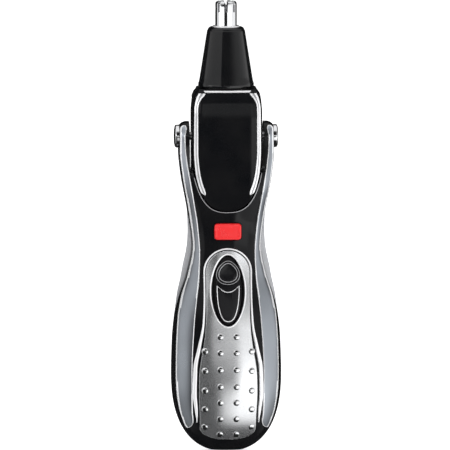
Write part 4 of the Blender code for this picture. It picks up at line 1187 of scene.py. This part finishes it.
def make_head():
    places = screw_places(HEAD_SCREWS)
    for name, half in (("front", POD_FRONT), ("rear", POD_REAR)):
        heights = evenly(80.5, POD_TOP - 10, 45)[:-1] + evenly(POD_TOP - 10, POD_TOP, 30)
        shell = link(f"head_{name}", half.solid(heights))
        carve(shell, "INTERSECT", pod_envelope())
        cut(shell, pod_hollow())
        cut(shell, bore(6.5, 119, 121.5))
        cut(shell, bore(8.3, 121.1, 130))
        cut(shell, rod(2.8, (-14, 0, PIVOT_Z), (14, 0, PIVOT_Z)))
        if half is POD_FRONT:
            cut(shell, pocket(half, top_trim_heights(FIT), top_trim_edges(FIT), 41, 0.6))
            for side in (-1, 1):
                cut(shell, pocket(half, trim_heights(FIT), trim_edges(side, FIT), 7))
            cut(shell, block(*CATCH_WINDOW))
        else:
            cut(shell, joined([rod(1.9, (x, top - HEAD_SCREW_DROP, z), (x, 16, z)) for x, top, z in places]))
        smooth(shell)
        true_normals(shell, half.form, pod_end_form)
        piece(shell, "head", GLOSS_BLACK, "gloss_black", f"head_{name}_shell")

    for name, side in SIDES:
        edges = trim_edges(side, -TRIM_GAP)
        strip = link(f"trim_{name}", inlay(POD_FRONT, trim_heights(), edges, TRIM_OUT, TRIM_IN, 0.2, 21, 0.1))
        piece(strip, "head", BRIGHT_WITH_PAINTED_SHEEN, "bright_chrome", f"head_trim_{name}")
        # Grey down the middle of each trim's groove: painted shade.
        paint_light_on_faces(strip, edges, GREY_HIGHLIGHT_AND_SHADE, in_groove)
    bar = inlay(POD_FRONT, top_trim_heights(), top_trim_edges(), TRIM_OUT, TRIM_IN, 0.2, 61)
    piece(link("trim_top", bar), "head", BRIGHT_WITH_PAINTED_SHEEN, "bright_chrome", "head_top_trim")


def make_pivot():
    for name, side in SIDES:
        sideways = Matrix.Rotation(side * pi / 2, 4, "Y")
        low, high = box(f"pivot_cap_{name}")
        thickness = high.x - low.x
        rim = arc((CAP_RADIUS - 0.85, thickness - 0.85), (0.85, 0.6), evenly(0.15, pi / 2 - 0.3, 8))
        profile = [(0, 0), (CAP_RADIUS, 0), (CAP_RADIUS, thickness - 0.85)] + rim
        profile += [(2.7, thickness - 0.12), (1.4, thickness - 0.03), (0, thickness)]
        place = Matrix.Translation((side * CAP_SEAT, 0, PIVOT_Z))
        cap = link(f"cap_{name}", placed(turned(profile), place @ sideways))
        piece(cap, "handle", CAP_CHROME, "bright_chrome", f"pivot_cap_{name}")
        low, high = box(f"pivot_pin_{name}")
        length = high.x - low.x
        profile = [(0, 0), (PIN_RADIUS - 0.15, 0), (PIN_RADIUS, 0.15), (PIN_RADIUS, length), (0, length)]
        place = Matrix.Translation((side * min(abs(low.x), abs(high.x)), 0, PIVOT_Z))
        pin = link(f"pin_{name}", placed(turned(profile, 48), place @ sideways))
        piece(pin, "handle", STEEL, "steel", f"pivot_pin_{name}")


# ---- nozzle and cutter
def make_cone():
    cone_low, cone_high = box("nozzle_cone")
    low, top = cone_low.z, cone_high.z
    base, tip = cone_high.x, 6.4
    lean = (base - tip) / (top - low)
    profile = [(8.3, low), (base - 0.25, low), (base - 0.07, low + 0.08), (base, low + 0.3)]
    profile += [(base - 0.02, low + 1.1)]
    profile += [(base - 0.02 - lean * (z - low), z) for z in evenly(low + 2, top - 1.3, 12)]
    profile += arc((tip - 1.3, top - 1.3), (1.3, 1.3), evenly(0.16, pi / 2, 10))
    profile += [(5.0, top), (4.9, top - 0.1), (4.9, top - 0.8), (4.05, top - 0.8)]
    profile += [(4.05, 143.5), (5.2, 141.5), (8.3, 129.2)]
    piece(link("nozzle_body", turned(profile, 128)), "nozzle", CONE_BLACK, "gloss_black", "nozzle_cone")


def make_collar():
    low, high = box("cutter_collar")
    half = (high.z - low.z) / 2
    ring = arc(((4.05 + 4.7) / 2, low.z + half), (0.33, half), full_turn(16))
    piece(link("collar_ring", turned(ring)), "nozzle", BRIGHT_WITH_PAINTED_SHEEN, "cutter_chrome", "cutter_collar")


def slit_outline(top):
    """A slit in the cutter's end: round at the bottom and flared at its mouth."""
    half, bottom, flare = 0.42, 152.8, 0.5
    right = arc((0, bottom + half), (half, half), evenly(-pi / 2, 0, 7)) + [(half, top - 0.75)]
    right += arc((half + flare, top - 0.75), (-flare, 0.7), evenly(0, pi / 2, 6)[1:])
    right.append((half + flare, top + 2))
    return right + [(-across, z) for across, z in reversed(right[1:])]


def make_cutter():
    low, high = box("cutter_tube")
    outer, bottom, top = high.x, low.z, high.z
    inside = outer - 0.45
    profile = [(0, top - 0.7), (inside - 0.6, top - 0.8), (inside, top - 1.3), (inside, bottom)]
    profile += [(outer, z) for z in [bottom] + evenly(bottom + 2, top - 1.1, 8)]
    profile += arc((outer - 1.0, top - 1.1), (1.0, 1.1), evenly(0.2, pi / 2, 7))
    tube = link("cutter_tube_body", turned(profile + [(0, top)], 128))
    for number in range(4):
        slit = loft([[(x, across, z) for across, z in slit_outline(top)] for x in (-6, 6)])
        cut(tube, placed(slit, Matrix.Rotation(number * pi / 4, 4, "Z")))
    smooth(tube, 30)
    piece(tube, "nozzle", CUTTER_CHROME, "cutter_chrome", "cutter_tube")


def make_blade():
    """The turning blade inside the cutter: four wings, each ground to an edge."""
    low, high = box("inner_blade")
    wing_section = ((0.5, -0.5), (high.x - 0.15, -0.42), (high.x - 0.05, 0.1), (0.5, 0.5))
    rings = []
    for z in evenly(low.z, high.z, 12):
        ring = []
        for wing in range(4):
            turn = wing * pi / 2 + 0.2 * (z - low.z) / (high.z - low.z)
            for along, side in wing_section:
                ring.append((along * cos(turn) - side * sin(turn), along * sin(turn) + side * cos(turn), z))
        rings.append(ring)
    piece(link("blade_wings", loft(rings)), "rotor", STEEL, "steel", "inner_blade")


def dress_cad_nodes():
    """The pieces inside keep their CAD shape and get finished materials."""
    dressed = {
        DARK_PLASTIC: (
            "switch_body", "lock_latch", "motor_end_cap", "motor_mount", "nozzle_seat", "drive_coupling",
        ),
        STEEL: ("button_spring", "latch_spring", "lock_catch", "motor_shaft", "drive_spindle"),
        BRASS: (
            "battery_contact", "pivot_bush_left", "pivot_bush_right", "motor_terminal_left",
            "motor_terminal_right", "spindle_bush",
        ),
        MOTOR_CASE: ("motor_can",),
    }
    for material, names in dressed.items():
        for name in names:
            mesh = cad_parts[name].data
            mesh.materials.clear()
            mesh.materials.append(material)


# ---- stage
VIEW_AZIMUTH = -3.4
VIEW_ELEVATION = 6.0
VIEW_DISTANCE = 6.0
VIEW_HEIGHT = 156.6
VIEW_CENTRE = (-0.35, 0.0, 78.3)
LIT_MIDDLE = (0, 0, 0.08)
CUTTER_MIDDLE = (0, 0, 0.15)
DARKNESS = 0.02

# Soft boxes seen in reflections: strength, then the left, right, low and high edge. Each edge is a pair of
# angles in degrees, where it is dark and where it is fully bright.
SOFT_BOXES = (
    (0.78, (-118, -110), (-23, -27), (4, 11), (60, 45)),
    (0.62, (9, 60), (122, 112), (4, 11), (60, 45)),
    (0.95, (-118, -108), (-58, -66), (-14, -11), (11, 4)),
    (1.2, (10, 16), (122, 110), (-14, -11), (11, 4)),
    (1.0, (-16, -8), (18, 12), (-4, 3), (9.5, 6.5)),
    (1.0, (8, 16), (64, 44), (-13, -9.5), (-1, -4.5)),
    (1.6, (-8, 11), (96, 66), (-50, -30), (-9, -13)),
    (0.6, (66, 96), (122, 110), (-56, -34), (-9, -13)),
    (0.5, (-118, -108), (-60, -72), (-56, -40), (-11, -14)),
    (1.1, (-400, -399), (400, 399), (38, 62), (400, 399)),
)


def make_camera():
    camera = bpy.data.objects.new("camera", bpy.data.cameras.new("camera"))
    bpy.context.scene.collection.objects.link(camera)
    azimuth, elevation = radians(VIEW_AZIMUTH), radians(VIEW_ELEVATION)
    back = Vector((sin(azimuth) * cos(elevation), -cos(azimuth) * cos(elevation), sin(elevation)))
    camera.location = Vector(VIEW_CENTRE) * MM + back * VIEW_DISTANCE
    camera.rotation_euler = (-back).to_track_quat("-Z", "Y").to_euler()
    camera.data.sensor_width = 36
    camera.data.lens = camera.data.sensor_width * VIEW_DISTANCE / (VIEW_HEIGHT * MM)
    camera.data.clip_start = 0.01
    camera.data.clip_end = 50
    bpy.context.scene.camera = camera


def make_floor():
    """A pale, wide floor that fades into the background."""
    bm = bmesh.new()
    bmesh.ops.create_grid(bm, x_segments=8, y_segments=8, size=8000)
    floor = link("studio_floor", bm)
    floor.location.z = -0.0002
    n = Nodes("floor_paper")
    tint = n.tint(n.noise(40, 4), (0.9, 0.9, 0.9), (0.94, 0.94, 0.94))
    floor.data.materials.append(n.finish(tint, 0.9, Emission_Color=tint, Emission_Strength=0.75))
    floor.visible_glossy = False


def make_world():
    """Soft light all round: white behind for the camera, and large soft boxes in the reflections."""
    world = bpy.data.worlds.new("studio")
    bpy.context.scene.world = world
    world.use_nodes = True
    world.node_tree.nodes.clear()
    tree = Tree(world.node_tree)

    def math(operation, *values):
        node = tree.add("ShaderNodeMath", {"operation": operation})
        for index, value in enumerate(values):
            tree.feed(node, index, value)
        return node.outputs[0]

    def step(value, start, end):
        edge = {"Value": value, "From_Min": start, "From_Max": end}
        return tree.add("ShaderNodeMapRange", {"interpolation_type": "SMOOTHSTEP"}, **edge).outputs["Result"]

    direction = tree.add("ShaderNodeTexCoord").outputs["Generated"]
    x, y, z = tree.add("ShaderNodeSeparateXYZ", Vector=direction).outputs
    around = math("MULTIPLY", math("ARCTAN2", x, math("MULTIPLY", y, -1.0)), 180 / pi)
    above = math("MULTIPLY", math("ARCSINE", z), 180 / pi)
    total = DARKNESS
    for strength, left, right, low, high in SOFT_BOXES:
        sides = math("MULTIPLY", step(around, *left), step(around, *right))
        ends = math("MULTIPLY", step(above, *low), step(above, *high))
        total = math("ADD", math("MULTIPLY", math("MULTIPLY", sides, ends), strength), total)
    lit = tree.add("ShaderNodeBackground", Strength=total)
    seen = tree.add("ShaderNodeBackground", Strength=1.0, Color=(1, 1, 1, 1))
    mix = tree.add("ShaderNodeMixShader", Fac=tree.add("ShaderNodeLightPath").outputs["Is Camera Ray"])
    tree.feed(mix, 1, lit.outputs[0])
    tree.feed(mix, 2, seen.outputs[0])
    tree.add("ShaderNodeOutputWorld", Surface=mix.outputs[0])
    bpy.context.scene.view_settings.view_transform = "Standard"


def make_light(name, place, size, power, target=LIT_MIDDLE):
    """A soft panel that faces the trimmer."""
    light = bpy.data.lights.new(name, "AREA")
    light.shape = "RECTANGLE"
    light.size, light.size_y = size
    light.energy = power
    obj = bpy.data.objects.new(name, light)
    bpy.context.scene.collection.objects.link(obj)
    obj.location = place
    obj.rotation_euler = (Vector(target) - Vector(place)).to_track_quat("-Z", "Y").to_euler()
    obj.visible_glossy = False
    return obj


def make_tip_card():
    """A small bright card beside the cutter, which whitens the left of the polished tube."""
    card = make_light("tip_card", (-0.115, -0.096, 0.136), (0.16, 0.025), 0.018, CUTTER_MIDDLE)
    card.visible_glossy = True
    card.visible_camera = False


make_camera()
make_floor()
make_world()
make_light("key_panel", (0.7, -0.9, 0.7), (0.6, 0.6), 9)
make_light("fill_panel", (-0.8, -0.7, 0.5), (0.6, 0.6), 4)
make_light("rear_panel", (0.5, 1.0, 0.6), (0.8, 0.6), 3)
make_tip_card()

make_handle_shells()
make_front_inlays()
make_switch()
make_button()
make_door()
make_cell()
make_head()
make_pivot()
make_cone()
make_collar()
make_cutter()
make_blade()
for node in HOUSING_SCREWS:
    screw(node, "handle", 1.9, 1.6)
for node in HEAD_SCREWS:
    screw(node, "head", 1.6, 1.1)
dress_cad_nodes()
